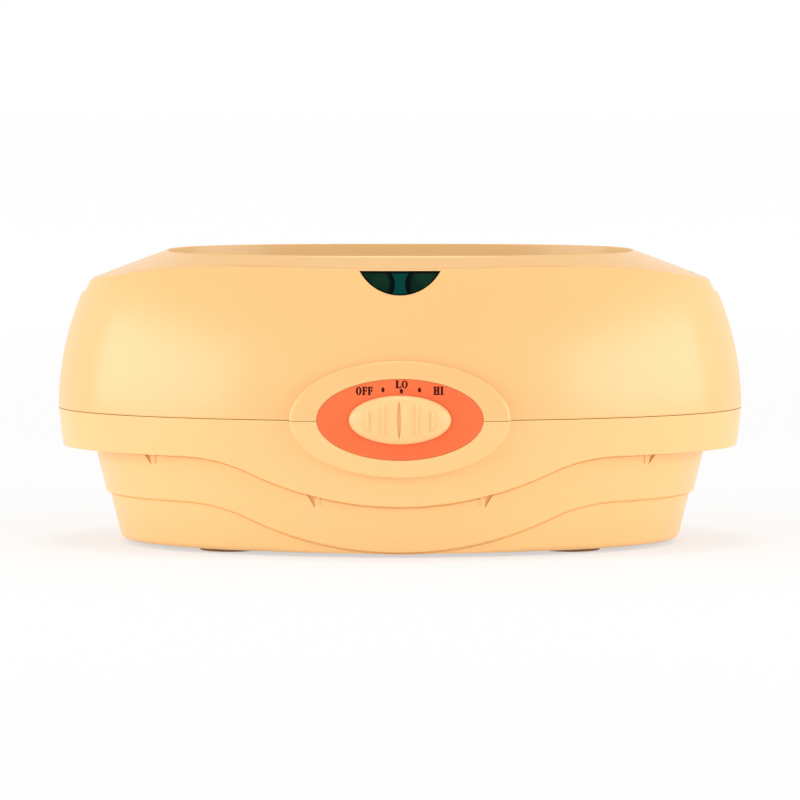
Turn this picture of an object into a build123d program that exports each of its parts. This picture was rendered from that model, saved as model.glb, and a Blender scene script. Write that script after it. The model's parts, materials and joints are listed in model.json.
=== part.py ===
from build123d import *
from math import acos, atan, cos, pi, radians, sin, sqrt, tan
import os

os.makedirs("parts", exist_ok=True)

# All sizes are in millimetres. X runs along the bath, the controls face -Y, and Z is up from the table.

# Body, as an oval whose roundness is the power of the curve: 2 is a plain ellipse
body_half_width = 185.0
body_half_depth = 120.0
body_roundness = 2.08
seam_height = 73.2
wall = 2.5
wall_bow_radius = 157.0
oval_quarter_steps = 4
bow_steps = 6
past = 1.0  # how far a cutting block goes on past a surface

# Shoulder, lip and rim of the opening
lip_foot_height = 156.2
total_height = 158.0
rim_half_width = 131.0
rim_half_depth = 85.0
rim_roundness = 2.6
lip_slope_width = 2.5
lip_land = 3.0
side_slope = 0.38
front_slope = 0.30
shoulder_run = 60.0
end_notch_bottom = 136.0
end_notch_inset = 2.2
skirt_bottom = 141.0
skirt_draft = 0.08

# Base: three tiers between two waves that dip at the front and the back
upper_draft = 0.12
hand_ledge_height = 52.8
ledge_spacing = 24.8
wave_dip = 25.1
wave_hollow_radius = 190.0
wave_crest_radius = 85.0
middle_half_width = 165.3
middle_half_depth = 114.6
middle_side_draft = 0.245
middle_front_draft = 0.16
lower_step = 2.0
base_bottom = 2.2
base_edge = 4.0
notch_places = (45.0, 133.0)
notch_width = 2.6
notch_height = 4.0
notch_depth = 1.6
notch_rise = 1.0

# Feet
foot_spread_x = 91.0
foot_spread_y = 54.0
foot_diameter = 32.0
foot_seat_depth = 1.0
foot_seat_clearance = 0.2

# Screws that join the housings
post_x = 120.0
post_y = 53.0
post_diameter = 10.0
long_screw_diameter = 3.9
long_screw_head = 7.4
long_screw_head_height = 2.6
long_screw_head_level = 18.0
long_screw_grip = 18.0
screw_passage_clearance = 0.25
screw_thread_clearance = 0.05
head_passage_clearance = 0.3

# Raised bezel, label plate and slide knob
control_height = 74.0
bezel_half_width = 58.0
bezel_half_height = 30.8
bezel_face = 122.3
bezel_wall = 1.8
bezel_back = 100.0
plate_half_width = 43.6
plate_half_height = 21.3
plate_thickness = 1.0
plate_clearance = 0.15
knob_travel = 18.0
knob_half_width = 26.8
knob_half_height = 12.9
knob_gap = 0.4
knob_height = 6.4
knob_wall = 1.6
knob_dome_shares = ((0.0, 1.0), (0.28, 0.985), (0.55, 0.92), (0.8, 0.76), (0.94, 0.52), (1.0, 0.25))
rib_width = 1.5
rib_proud = 0.7
inner_rib_place = 8.8
inner_rib_length = 16.0
outer_rib_place = 17.0
outer_rib_length = 10.0
knob_groove_half_width = 2.6
knob_groove_length = 21.0
knob_groove_depth = 0.8
stem_width = 4.0
stem_height = 4.6
slot_clearance = 0.4

# Slider carrier behind the bezel
strip_half_length = 37.0
strip_half_height = 4.2
strip_thickness = 1.6
strip_gap = 0.25
leg_thickness = 2.5
leg_reach = 100.0
leg_bottom = 26.0
pin_diameter = 3.0
pin_length = 6.5
slider_screw_diameter = 2.2
slider_screw_head = 4.4
slider_screw_head_height = 1.4
slider_screw_length = 6.0

# Tank
tank_wall = 1.5
tank_flange_width = 5.5
gasket_thickness = 1.0
tank_bottom = 45.0
tank_bottom_half_width = 106.0
tank_bottom_half_depth = 62.0
tank_corner = 9.0
wrap_thickness = 5.0
wrap_gap = 0.3
wrap_bottom = 60.0
wrap_top = 126.0

# Tabs that hold the tank up to the skirt
side_tab_place = 60.0
tab_width = 12.0
tab_thickness = 1.5
tab_overlap = 4.0
tab_boss_diameter = 8.0
tab_boss_gap = 1.0
tab_screw_diameter = 2.9
tab_screw_head = 5.6
tab_screw_head_height = 1.8
tab_screw_length = 9.0

# Grille on the floor of the tank
grille_thickness = 3.0
grille_leg_height = 8.0
grille_leg_diameter = 8.0
grille_clearance = 2.5
grille_slot_width = 7.0
grille_slot_pitch = 12.0
grille_slot_count = 13
grille_border = 9.0
grille_bar = 5.0
grille_leg_share = 0.62

# Heater, its plate and what the plate carries
heater_half_width = 88.0
heater_half_depth = 46.0
heater_thickness = 0.8
heater_plate_overhang = 4.0
heater_plate_thickness = 1.5
plate_corner = 8.0
stud_x = 70.0
stud_y = 36.0
stud_diameter = 4.0
stud_length = 9.0
stud_clearance = 0.5
nut_across = 7.0
nut_height = 3.2

# Thermostat
thermostat_back = 36.0
thermostat_width = 26.0
thermostat_depth = 22.0
thermostat_height = 11.0
bracket_thickness = 1.2
bracket_ear = 8.0
shaft_diameter = 5.0
shaft_clearance = 0.05
lever_bottom = 21.0
lever_thickness = 2.0
lever_width = 9.0
lever_hub_diameter = 12.0
lever_hub_height = 5.0
pin_side_clearance = 0.5
shaft_tail = 1.5

# Fuse
fuse_x = 48.0
fuse_diameter = 4.0
fuse_length = 12.0
fuse_clip_thickness = 0.8
fuse_clip_width = 8.0
fuse_gap = 0.05

# Window and the lamps behind it
window_half_width = 21.4
window_top = 150.9
window_height = 12.7
window_clearance = 0.15
lens_recess = 0.4
lens_thickness = 1.8
lamp_box_half_width = 23.0
lamp_box_front = 94.5
lamp_box_back = 87.5
lamp_box_bottom = 134.0
lamp_box_top = 146.5
lamp_box_wall = 1.2
lamp_ear = 9.0
lamp_ear_thickness = 2.0
lamp_diameter = 5.0
lamp_length = 11.0
lamp_place = 11.0
lamp_screw_diameter = 2.4
lamp_screw_head = 4.6
lamp_screw_head_height = 1.6
lamp_screw_length = 7.0
lamp_boss_diameter = 6.0

# Power inlet at the back
inlet_height = 50.0
inlet_pad_half_width = 29.0
inlet_pad_half_height = 14.0
inlet_pad_face = 119.6
inlet_flange_half_width = 26.0
inlet_flange_half_height = 11.5
inlet_flange_thickness = 2.0
inlet_body_half_width = 13.5
inlet_body_half_height = 9.8
inlet_body_depth = 20.0
inlet_wall = 1.6
inlet_socket_depth = 17.0
inlet_cut_clearance = 0.2
inlet_screw_place = 20.0
inlet_screw_diameter = 2.9
inlet_screw_head = 5.6
inlet_screw_head_height = 1.5
inlet_screw_length = 9.0
inlet_pin_width = 4.0
inlet_pin_thickness = 2.0
inlet_pin_pitch = 7.0
inlet_pin_rise = 2.0
inlet_pin_proud = 14.0
inlet_tail = 8.0

# Terminal block on the floor
terminal_x = -52.0
terminal_y = 30.0
terminal_count = 5
terminal_pitch = 9.0
terminal_depth = 17.0
terminal_height = 13.0
terminal_screw_diameter = 3.4
terminal_screw_height = 1.2

# Leads inside the base
lead_diameter = 2.2
lead_bend_share = 0.45
lead_straight = 10.0
lead_drop = 16.0
lead_sag = 5.0
lead_early_share = 0.33  # of the way across, at a lead's first bend
lead_late_share = 0.86  # the same at its last bend but one
pin_straight = 14.0
pin_bend = 28.0
terminal_bend = 19.0
tag_straight = 9.0
tag_bend = 18.0
first_mains_terminal = 2
thermostat_terminals = (3, 4)
thermostat_tags = (-9.0, -3.0)

# Worked out from the sizes above
opening_half_width = rim_half_width - lip_slope_width - lip_land
opening_half_depth = rim_half_depth - lip_slope_width - lip_land
opening_narrowing = skirt_draft * (total_height - skirt_bottom)
mouth_half_width = opening_half_width - opening_narrowing
mouth_half_depth = opening_half_depth - opening_narrowing
flange_top = skirt_bottom - gasket_thickness
tank_floor = tank_bottom + tank_wall
grille_bottom = tank_floor + grille_leg_height
heater_bottom = tank_bottom - heater_thickness
heater_plate_bottom = heater_bottom - heater_plate_thickness
base_inside = base_bottom + wall
bezel_inside = bezel_face - wall
pin_y = -(leg_reach + leg_thickness / 2)
lever_reach = leg_reach + leg_thickness / 2 - thermostat_back
inlet_reach = inlet_pad_face + inlet_flange_thickness
inlet_tail_end = inlet_reach - inlet_body_depth - inlet_tail
terminal_middle = base_inside + terminal_height / 2
thermostat_middle = heater_plate_bottom - thermostat_height / 2
knob_reach = bezel_face + knob_gap + knob_height + rib_proud
frame_shift = (knob_reach - inlet_reach) / 2


def block(low, high):
    """Box between two corners."""
    size = [b - a for a, b in zip(low, high)]
    middle = [(a + b) / 2 for a, b in zip(low, high)]
    return Pos(*middle) * Box(*size)


def rod(x, y, bottom, top, diameter):
    """Upright cylinder."""
    return Pos(x, y, (bottom + top) / 2) * Cylinder(diameter / 2, top - bottom)


def back_rod(x, z, front, back, diameter):
    """Cylinder that lies along Y."""
    return Pos(x, (front + back) / 2, z) * Rot(90, 0, 0) * Cylinder(diameter / 2, back - front)


def oval_point(half_width, half_depth, height, roundness, turn):
    reach = (abs(cos(turn)) ** roundness + abs(sin(turn)) ** roundness) ** (-1 / roundness)
    return half_width * reach * cos(turn), half_depth * reach * sin(turn), height


def oval(half_width, half_depth, height, roundness):
    """Flat oval face at one height, drawn a quarter at a time."""
    edges = []
    for quarter in range(4):
        start = quarter * pi / 2
        turns = [start + pi / 2 * step / oval_quarter_steps for step in range(oval_quarter_steps + 1)]
        points = [oval_point(half_width, half_depth, height, roundness, turn) for turn in turns]
        ends = [(-sin(turn), cos(turn), 0) for turn in (turns[0], turns[-1])]
        edges.append(Spline(*points, tangents=ends))
    return Face(Wire(edges))


def oval_depth(x, half_width, half_depth, roundness):
    """How far an oval reaches along Y at a place along X."""
    return half_depth * (1 - abs(x / half_width) ** roundness) ** (1 / roundness)


def upright_ellipse(half_width, half_height, front, back):
    """Elliptical block along Y about the middle of the controls."""
    plane = Plane((0, front, control_height), x_dir=(1, 0, 0), z_dir=(0, 1, 0))
    return extrude(plane * Ellipse(half_width, half_height), amount=back - front)


def wall_inset(height):
    """How far the upper wall leans in at a height."""
    return wall_bow_radius - sqrt(wall_bow_radius ** 2 - (height - seam_height) ** 2)


def upper_wall(inset, top):
    """Solid inside the upper wall, from the seam up."""
    sections = []
    for step in range(bow_steps + 1):
        height = seam_height + (top - seam_height) * step / bow_steps
        lean = inset + wall_inset(height)
        sections.append(oval(body_half_width - lean, body_half_depth - lean, height, body_roundness))
    return loft(sections)


def shoulder(drop):
    """Everything under the sloping shoulder, lowered by drop."""
    fall = side_slope * shoulder_run
    foot_width = rim_half_width + shoulder_run
    foot_depth = rim_half_depth + fall / front_slope
    foot_height = lip_foot_height - fall - drop
    foot = oval(foot_width, foot_depth, foot_height, rim_roundness)
    head = oval(rim_half_width, rim_half_depth, lip_foot_height - drop, rim_roundness)
    slope = loft([foot, head], ruled=True)
    return slope + extrude(foot, amount=-(foot_height - seam_height + wall))


def rim_cone(bottom, top, bottom_extra, top_extra):
    """Solid between two ovals that follow the mouth of the opening."""
    low = oval(mouth_half_width + bottom_extra, mouth_half_depth + bottom_extra, bottom, rim_roundness)
    high = oval(mouth_half_width + top_extra, mouth_half_depth + top_extra, top, rim_roundness)
    return loft([low, high], ruled=True)


def window_outline(extra, back):
    """Half-moon block along Y: straight on top, an arc below."""
    half = window_half_width + extra
    top = window_top + extra
    low = window_top - window_height - extra
    outline = Polyline((-half, top), (half, top)) + ThreePointArc((-half, top), (0, low), (half, top))
    face = Plane((0, -back, 0), x_dir=(1, 0, 0), z_dir=(0, -1, 0)) * make_face(outline)
    return extrude(face, amount=body_half_depth - back)


def screw(x, y, under_head, length, diameter, head, head_height):
    """Screw that points up, with its head below."""
    shank = rod(x, y, under_head, under_head + length, diameter)
    return shank + rod(x, y, under_head - head_height, under_head, head)


def four(x, y):
    """The four places mirrored about the middle."""
    return [(sx * x, sy * y) for sx in (1, -1) for sy in (1, -1)]


def tab_places():
    """Middle of each tank tab's screw, and whether the tab lies along X."""
    out = tank_flange_width + tab_boss_diameter / 2 + tab_boss_gap
    side = oval_depth(side_tab_place, mouth_half_width, mouth_half_depth, rim_roundness) + out
    ends = [(sx * (mouth_half_width + out), 0, True) for sx in (1, -1)]
    return ends + [(x, y, False) for x, y in four(side_tab_place, side)]


def lamp_boss_places():
    """Where the lamp holder's ears are screwed to the shoulder."""
    y = -(lamp_box_front + lamp_box_back) / 2
    return [(side * (lamp_box_half_width + lamp_ear / 2), y) for side in (1, -1)]


def bezel_cuts():
    """Seat of the label plate and the knob's slot, cut from both housings."""
    seat_depth = -bezel_face + plate_thickness
    seat = upright_ellipse(plate_half_width + plate_clearance, plate_half_height + plate_clearance,
                           -bezel_face - wall, seat_depth)
    return seat + knob_slot(-bezel_face, -bezel_inside + wall)


def knob_slot(front, back):
    half_length = knob_travel + stem_width / 2 + slot_clearance
    half_height = stem_height / 2 + slot_clearance
    return block((-half_length, front, control_height - half_height),
                 (half_length, back, control_height + half_height))


def bezel_cavity():
    return upright_ellipse(bezel_half_width - bezel_wall, bezel_half_height - bezel_wall,
                           -bezel_inside, -bezel_back)


def above_seam():
    big = 2 * body_half_width
    return block((-big, -big, seam_height), (big, big, 2 * total_height))


def below_seam():
    big = 2 * body_half_width
    return block((-big, -big, -total_height), (big, big, seam_height))


def end_notches(inward):
    """Shallow step at the top of each end of the upper wall, moved inwards by a distance."""
    corner_x = body_half_width - wall_inset(end_notch_bottom) - end_notch_inset - inward
    corner_z = end_notch_bottom - inward
    top_x = corner_x - (wall_inset(total_height) - wall_inset(end_notch_bottom))
    low_z = corner_z - side_slope * (body_half_width - corner_x)
    outline = Polyline((corner_x, corner_z), (top_x, total_height), (body_half_width, total_height),
                       (body_half_width, low_z), close=True)
    notch = extrude(Plane.XZ * make_face(outline), amount=body_half_depth, both=True)
    return notch + notch.mirror(Plane.YZ)


def upper_housing():
    outside = (upper_wall(0, total_height) & shoulder(0)) - end_notches(0)
    bezel = upright_ellipse(bezel_half_width, bezel_half_height, -bezel_face, -bezel_back)
    outside += bezel & above_seam()
    under = wall * sqrt(1 + side_slope ** 2)
    inside = (upper_wall(wall, total_height) & shoulder(under)) - end_notches(wall)
    shell = outside - inside - bezel_cavity()
    # Lip, with the skirt that hangs from it round the mouth
    lip_top = opening_narrowing + lip_land
    lip = rim_cone(lip_foot_height, total_height, lip_top + lip_slope_width, lip_top)
    skirt = rim_cone(skirt_bottom, lip_foot_height, wall, wall + opening_narrowing)
    # Pillars that hang from the shoulder
    pillars = [rod(x, y, seam_height, total_height, post_diameter) for x, y in four(post_x, post_y)]
    pillars += [rod(x, y, flange_top - tank_wall, total_height, tab_boss_diameter)
                for x, y, along_x in tab_places()]
    pillars += [rod(x, y, lamp_box_top, total_height, lamp_boss_diameter) for x, y in lamp_boss_places()]
    hanging = Part() + pillars
    shell = shell + (hanging & shoulder(wall / 2)) + lip + skirt
    # Holes
    shell -= rim_cone(skirt_bottom - wall, total_height + wall,
                      -skirt_draft * wall, opening_narrowing + skirt_draft * wall)
    shell -= window_outline(0, lamp_box_front)
    shell -= bezel_cuts()
    bore = long_screw_diameter + 2 * screw_thread_clearance
    for x, y in four(post_x, post_y):
        shell -= rod(x, y, seam_height - past, seam_height + long_screw_grip + past, bore)
    for x, y, along_x in tab_places():
        foot = flange_top - tank_wall
        top = foot - tab_thickness + tab_screw_length + screw_thread_clearance
        shell -= rod(x, y, foot - past, top, tab_screw_diameter + 2 * screw_thread_clearance)
    for x, y in lamp_boss_places():
        top = lamp_box_top - lamp_ear_thickness + lamp_screw_length + screw_thread_clearance
        shell -= rod(x, y, lamp_box_top - past, top, lamp_screw_diameter + 2 * screw_thread_clearance)
    return shell


def wave_block(lowest, top):
    """Everything over a wave edge that dips at the front and the back, up to a level top."""
    turn = acos(1 - wave_dip / (wave_hollow_radius + wave_crest_radius))
    reach = body_half_width + wall_bow_radius
    join_x = wave_hollow_radius * sin(turn)
    join_z = lowest + wave_hollow_radius * (1 - cos(turn))
    level_x = (wave_hollow_radius + wave_crest_radius) * sin(turn)
    level_z = lowest + wave_dip
    middle_x = level_x - wave_crest_radius * sin(turn / 2)
    middle_z = level_z - wave_crest_radius * (1 - cos(turn / 2))
    outline = ThreePointArc((-join_x, join_z), (0, lowest), (join_x, join_z))
    outline += ThreePointArc((join_x, join_z), (middle_x, middle_z), (level_x, level_z))
    outline += ThreePointArc((-join_x, join_z), (-middle_x, middle_z), (-level_x, level_z))
    outline += Polyline((level_x, level_z), (reach, level_z), (reach, top), (-reach, top),
                        (-reach, level_z), (-level_x, level_z))
    return extrude(Plane.XZ * make_face(outline), amount=body_half_width, both=True)


def upper_tier(inset, wave_rise):
    """Skirt of the base under the seam, over the upper wave."""
    lowest = hand_ledge_height - wave_dip
    lean = inset + upper_draft * (seam_height - lowest)
    low = oval(body_half_width - lean, body_half_depth - lean, lowest, body_roundness)
    high = oval(body_half_width - inset, body_half_depth - inset, seam_height, body_roundness)
    return loft([low, high], ruled=True) & wave_block(lowest + wave_rise, seam_height + wall)


def lower_cone(inset, bottom, top):
    """Solid of the middle and lower tiers between two heights."""
    sections = []
    for height in (bottom, top):
        down = hand_ledge_height - height
        sections.append(oval(middle_half_width - inset - middle_side_draft * down,
                             middle_half_depth - inset - middle_front_draft * down, height, body_roundness))
    return loft(sections, ruled=True)


def middle_tier(inset, wave_rise):
    lowest = hand_ledge_height - ledge_spacing - wave_dip
    block_above = wave_block(lowest + wave_rise, total_height)
    return lower_cone(inset, lowest, hand_ledge_height + wave_rise) & block_above


def lower_tier(inset, bottom):
    return lower_cone(lower_step + inset, bottom, hand_ledge_height - ledge_spacing + wall)


def wave_height(x, lowest):
    """Height of a wave edge at a place along X."""
    turn = acos(1 - wave_dip / (wave_hollow_radius + wave_crest_radius))
    join_x = wave_hollow_radius * sin(turn)
    level_x = (wave_hollow_radius + wave_crest_radius) * sin(turn)
    if x < join_x:
        return lowest + wave_hollow_radius - sqrt(wave_hollow_radius ** 2 - x ** 2)
    if x < level_x:
        return lowest + wave_dip - wave_crest_radius + sqrt(wave_crest_radius ** 2 - (level_x - x) ** 2)
    return lowest + wave_dip


def ledge_notches():
    """Small three-cornered notches in the front of the middle tier, right under the upper wave."""
    notches = Part()
    for place in notch_places:
        low_end = wave_height(place, hand_ledge_height - wave_dip)
        down = hand_ledge_height - low_end
        half_width = middle_half_width - middle_side_draft * down
        half_depth = middle_half_depth - middle_front_draft * down
        near = oval_depth(place, half_width, half_depth, body_roundness)
        back = near - oval_depth(place + notch_width, half_width, half_depth, body_roundness)
        length = sqrt(notch_width ** 2 + back ** 2)
        for side in (1, -1):
            outline = Polyline((0, low_end + notch_rise), (side * length, low_end + notch_rise),
                               (0, low_end - notch_height), close=True)
            skin = Plane((side * place, -near, 0), x_dir=(notch_width, side * back, 0),
                         z_dir=(side * back, -notch_width, 0))
            notches += extrude(skin.offset(-notch_depth) * make_face(outline), amount=3 * notch_depth)
    return notches


def lower_housing():
    outside = upper_tier(0, 0) + middle_tier(0, 0)
    outside += fillet(lower_tier(0, base_bottom).edges().group_by(Axis.Z)[0], base_edge)
    bezel = upright_ellipse(bezel_half_width, bezel_half_height, -bezel_face, -bezel_back)
    outside += bezel & below_seam()
    pad = block((-inlet_pad_half_width, bezel_back, inlet_height - inlet_pad_half_height),
                (inlet_pad_half_width, inlet_pad_face, inlet_height + inlet_pad_half_height))
    outside += pad
    inside = upper_tier(wall, wall) + middle_tier(wall, wall) + lower_tier(wall, base_inside)
    shell = outside - inside - bezel_cavity()
    for x, y in four(post_x, post_y):
        shell += rod(x, y, base_bottom, seam_height, post_diameter + wall)
    for x, y in four(post_x, post_y):
        shell -= rod(x, y, 0, seam_height + past, long_screw_diameter + 2 * screw_passage_clearance)
        shell -= rod(x, y, 0, long_screw_head_level, long_screw_head + 2 * head_passage_clearance)
    for x, y in four(foot_spread_x, foot_spread_y):
        shell -= rod(x, y, 0, base_bottom + foot_seat_depth, foot_diameter + 2 * foot_seat_clearance)
    shell -= bezel_cuts() + ledge_notches()
    shell -= block((-inlet_body_half_width - inlet_cut_clearance, bezel_back - wall,
                    inlet_height - inlet_body_half_height - inlet_cut_clearance),
                   (inlet_body_half_width + inlet_cut_clearance, inlet_reach,
                    inlet_height + inlet_body_half_height + inlet_cut_clearance))
    for side in (1, -1):
        shell -= back_rod(side * inlet_screw_place, inlet_height, bezel_back - wall, inlet_reach,
                          inlet_screw_diameter + 2 * screw_thread_clearance)
    return shell


def feet():
    return [rod(x, y, 0, base_bottom + foot_seat_depth, foot_diameter)
            for x, y in four(foot_spread_x, foot_spread_y)]


def housing_screws():
    length = seam_height + long_screw_grip - long_screw_head_level
    return [screw(x, y, long_screw_head_level, length, long_screw_diameter, long_screw_head,
                  long_screw_head_height) for x, y in four(post_x, post_y)]


def label_plate():
    plate = upright_ellipse(plate_half_width, plate_half_height, -bezel_face, -bezel_face + plate_thickness)
    return plate - knob_slot(-bezel_face - past, -bezel_face + plate_thickness + past)


def knob_dome(grow):
    """Domed elliptical cap, grown outwards by a distance. Each rise has its share of the cap's width."""
    back = -bezel_face - knob_gap
    sections = []
    for rise, share in knob_dome_shares:
        front = back - rise * (knob_height + grow)
        place = Plane((0, front, control_height), x_dir=(1, 0, 0), z_dir=(0, -1, 0))
        sections.append(place * Ellipse((knob_half_width + grow) * share, (knob_half_height + grow) * share))
    return loft(sections)


def slide_knob():
    back = -bezel_face - knob_gap
    knob = knob_dome(0)
    knob -= knob_dome(-knob_wall)
    for place, length in ((inner_rib_place, inner_rib_length), (outer_rib_place, outer_rib_length)):
        for side in (1, -1):
            x = side * place
            rib = block((x - rib_width / 2, back - knob_height - rib_proud, control_height - length / 2),
                        (x + rib_width / 2, back - knob_wall, control_height + length / 2))
            knob += (rib & knob_dome(rib_proud)) - knob_dome(-knob_wall)
    post_top = back - knob_height + knob_wall
    stem_back = -bezel_inside + strip_gap
    knob += block((-stem_width / 2, post_top, control_height - stem_height / 2),
                  (stem_width / 2, stem_back, control_height + stem_height / 2))
    lens_radius = (knob_groove_length ** 2 / 4 + knob_groove_half_width ** 2) / (2 * knob_groove_half_width)
    offset = lens_radius - knob_groove_half_width
    half = back_rod(offset, control_height, back - 2 * knob_height, back, 2 * lens_radius)
    other = back_rod(-offset, control_height, back - 2 * knob_height, back, 2 * lens_radius)
    groove = (half & other) & block((-stem_width, back - 2 * knob_height, 0),
                                    (stem_width, back - knob_height + knob_groove_depth, total_height))
    knob -= groove
    pilot = slider_screw_diameter + 2 * screw_thread_clearance
    return knob - back_rod(0, control_height, stem_back - slider_screw_length, stem_back + past, pilot)


def slider_carrier():
    front = -bezel_inside + strip_gap
    back = front + strip_thickness
    carrier = block((-strip_half_length, front, control_height - strip_half_height),
                    (strip_half_length, back, control_height + strip_half_height))
    arm_high = control_height + slider_screw_head / 2 + slot_clearance + leg_thickness
    for side in (1, -1):
        middle = side * (slider_screw_head / 2 + slot_clearance + leg_thickness / 2)
        carrier += block((middle - leg_thickness / 2, back, control_height - strip_half_height),
                         (middle + leg_thickness / 2, -leg_reach, arm_high))
    half = slider_screw_head / 2 + slot_clearance + leg_thickness
    carrier += block((-half, -leg_reach - leg_thickness, leg_bottom), (half, -leg_reach, arm_high))
    carrier += rod(0, pin_y, leg_bottom - pin_length, leg_bottom, pin_diameter)
    hole = slider_screw_diameter + 2 * screw_passage_clearance
    return carrier - back_rod(0, control_height, front - past, back + past, hole)


def slider_screw():
    under = -bezel_inside + strip_gap + strip_thickness
    shank = back_rod(0, control_height, under - slider_screw_length, under, slider_screw_diameter)
    return shank + back_rod(0, control_height, under, under + slider_screw_head_height, slider_screw_head)


def tank_cone(grow, bottom, top, corner):
    """Tapered tank block with a rounded foot, grown outwards by a distance."""
    slope_x = (mouth_half_width - tank_bottom_half_width) / (flange_top - tank_bottom)
    slope_y = (mouth_half_depth - tank_bottom_half_depth) / (flange_top - tank_bottom)
    low = oval(tank_bottom_half_width + grow + slope_x * (bottom - tank_bottom),
               tank_bottom_half_depth + grow + slope_y * (bottom - tank_bottom), bottom, rim_roundness)
    high = oval(tank_bottom_half_width + grow + slope_x * (top - tank_bottom),
                tank_bottom_half_depth + grow + slope_y * (top - tank_bottom), top, rim_roundness)
    cone = loft([low, high], ruled=True)
    if corner:
        cone = fillet(cone.edges().group_by(Axis.Z)[0], corner)
    return cone


def tank():
    body = tank_cone(0, tank_bottom, flange_top, tank_corner)
    body += rim_cone(flange_top - tank_wall, flange_top, tank_flange_width, tank_flange_width)
    return body - tank_cone(-tank_wall, tank_floor, flange_top + past, tank_corner - tank_wall)


def tank_gasket():
    ring = rim_cone(flange_top, skirt_bottom, wall, wall)
    return ring - rim_cone(flange_top - past, skirt_bottom + past, 0, 0)


def tank_tabs():
    """Tabs under the tank flange and the screws that hold them."""
    tabs = []
    screws = []
    top = flange_top - tank_wall
    inward = tab_boss_diameter / 2 + tab_boss_gap + tab_overlap
    for x, y, along_x in tab_places():
        if along_x:
            side = 1 if x > 0 else -1
            ends = sorted((x - side * inward, x + side * tab_boss_diameter / 2))
            tab = block((ends[0], -tab_width / 2, top - tab_thickness), (ends[1], tab_width / 2, top))
        else:
            side = 1 if y > 0 else -1
            ends = sorted((y - side * inward, y + side * tab_boss_diameter / 2))
            tab = block((x - tab_width / 2, ends[0], top - tab_thickness), (x + tab_width / 2, ends[1], top))
        tabs.append(tab - rod(x, y, top - 2 * tab_thickness, top + past,
                              tab_screw_diameter + 2 * screw_passage_clearance))
        screws.append(screw(x, y, top - tab_thickness, tab_screw_length, tab_screw_diameter,
                            tab_screw_head, tab_screw_head_height))
    return tabs, screws


def insulation_wrap():
    outer = tank_cone(wrap_gap + wrap_thickness, wrap_bottom, wrap_top, 0)
    return outer - tank_cone(wrap_gap, wrap_bottom, wrap_top, 0)


def tank_grille():
    """Slotted plate on four legs, clear of the tank wall all round."""
    half_width = tank_bottom_half_width - tank_wall - grille_clearance
    half_depth = tank_bottom_half_depth - tank_wall - grille_clearance
    plate = extrude(oval(half_width, half_depth, grille_bottom, rim_roundness), amount=grille_thickness)
    top = grille_bottom + grille_thickness
    for number in range(grille_slot_count):
        x = (number - (grille_slot_count - 1) / 2) * grille_slot_pitch
        far = abs(x) + grille_slot_width / 2
        length = oval_depth(far, half_width, half_depth, rim_roundness) - grille_border
        for side in (1, -1):
            ends = sorted((side * grille_bar / 2, side * length))
            plate -= block((x - grille_slot_width / 2, ends[0], grille_bottom - past),
                           (x + grille_slot_width / 2, ends[1], top + past))
    leg_x = (round(grille_leg_share * half_width / grille_slot_pitch) + 0.5) * grille_slot_pitch
    leg_y = oval_depth(leg_x, half_width, half_depth, rim_roundness) - tank_corner - grille_leg_diameter / 2
    for x, y in four(leg_x, leg_y):
        plate += rod(x, y, tank_floor, grille_bottom, grille_leg_diameter)
    return plate


def rounded_sheet(half_width, half_depth, bottom, thickness, corner):
    outline = Pos(0, 0, bottom) * RectangleRounded(2 * half_width, 2 * half_depth, corner)
    return extrude(outline, amount=thickness)


def stud_holes(diameter):
    holes = [rod(x, y, heater_plate_bottom - past, tank_bottom, diameter) for x, y in four(stud_x, stud_y)]
    return holes[0] + holes[1] + holes[2] + holes[3]


def heater_mat():
    mat = rounded_sheet(heater_half_width, heater_half_depth, heater_bottom, heater_thickness, plate_corner)
    return mat - stud_holes(stud_diameter + 2 * stud_clearance)


def heater_plate():
    half_width = heater_half_width + heater_plate_overhang
    half_depth = heater_half_depth + heater_plate_overhang
    plate = rounded_sheet(half_width, half_depth, heater_plate_bottom, heater_plate_thickness, plate_corner)
    return plate - stud_holes(stud_diameter + 2 * stud_clearance)


def heater_studs():
    foot = tank_bottom - stud_length
    return [rod(x, y, foot, tank_bottom, stud_diameter) for x, y in four(stud_x, stud_y)]


def heater_nuts():
    nuts = []
    for x, y in four(stud_x, stud_y):
        outline = RegularPolygon(nut_across / 2, 6, major_radius=False)
        nut = extrude(Pos(x, y, heater_plate_bottom - nut_height) * outline, amount=nut_height)
        bore = rod(x, y, 0, total_height, stud_diameter + 2 * screw_thread_clearance)
        nuts.append(nut - bore)
    return nuts


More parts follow.
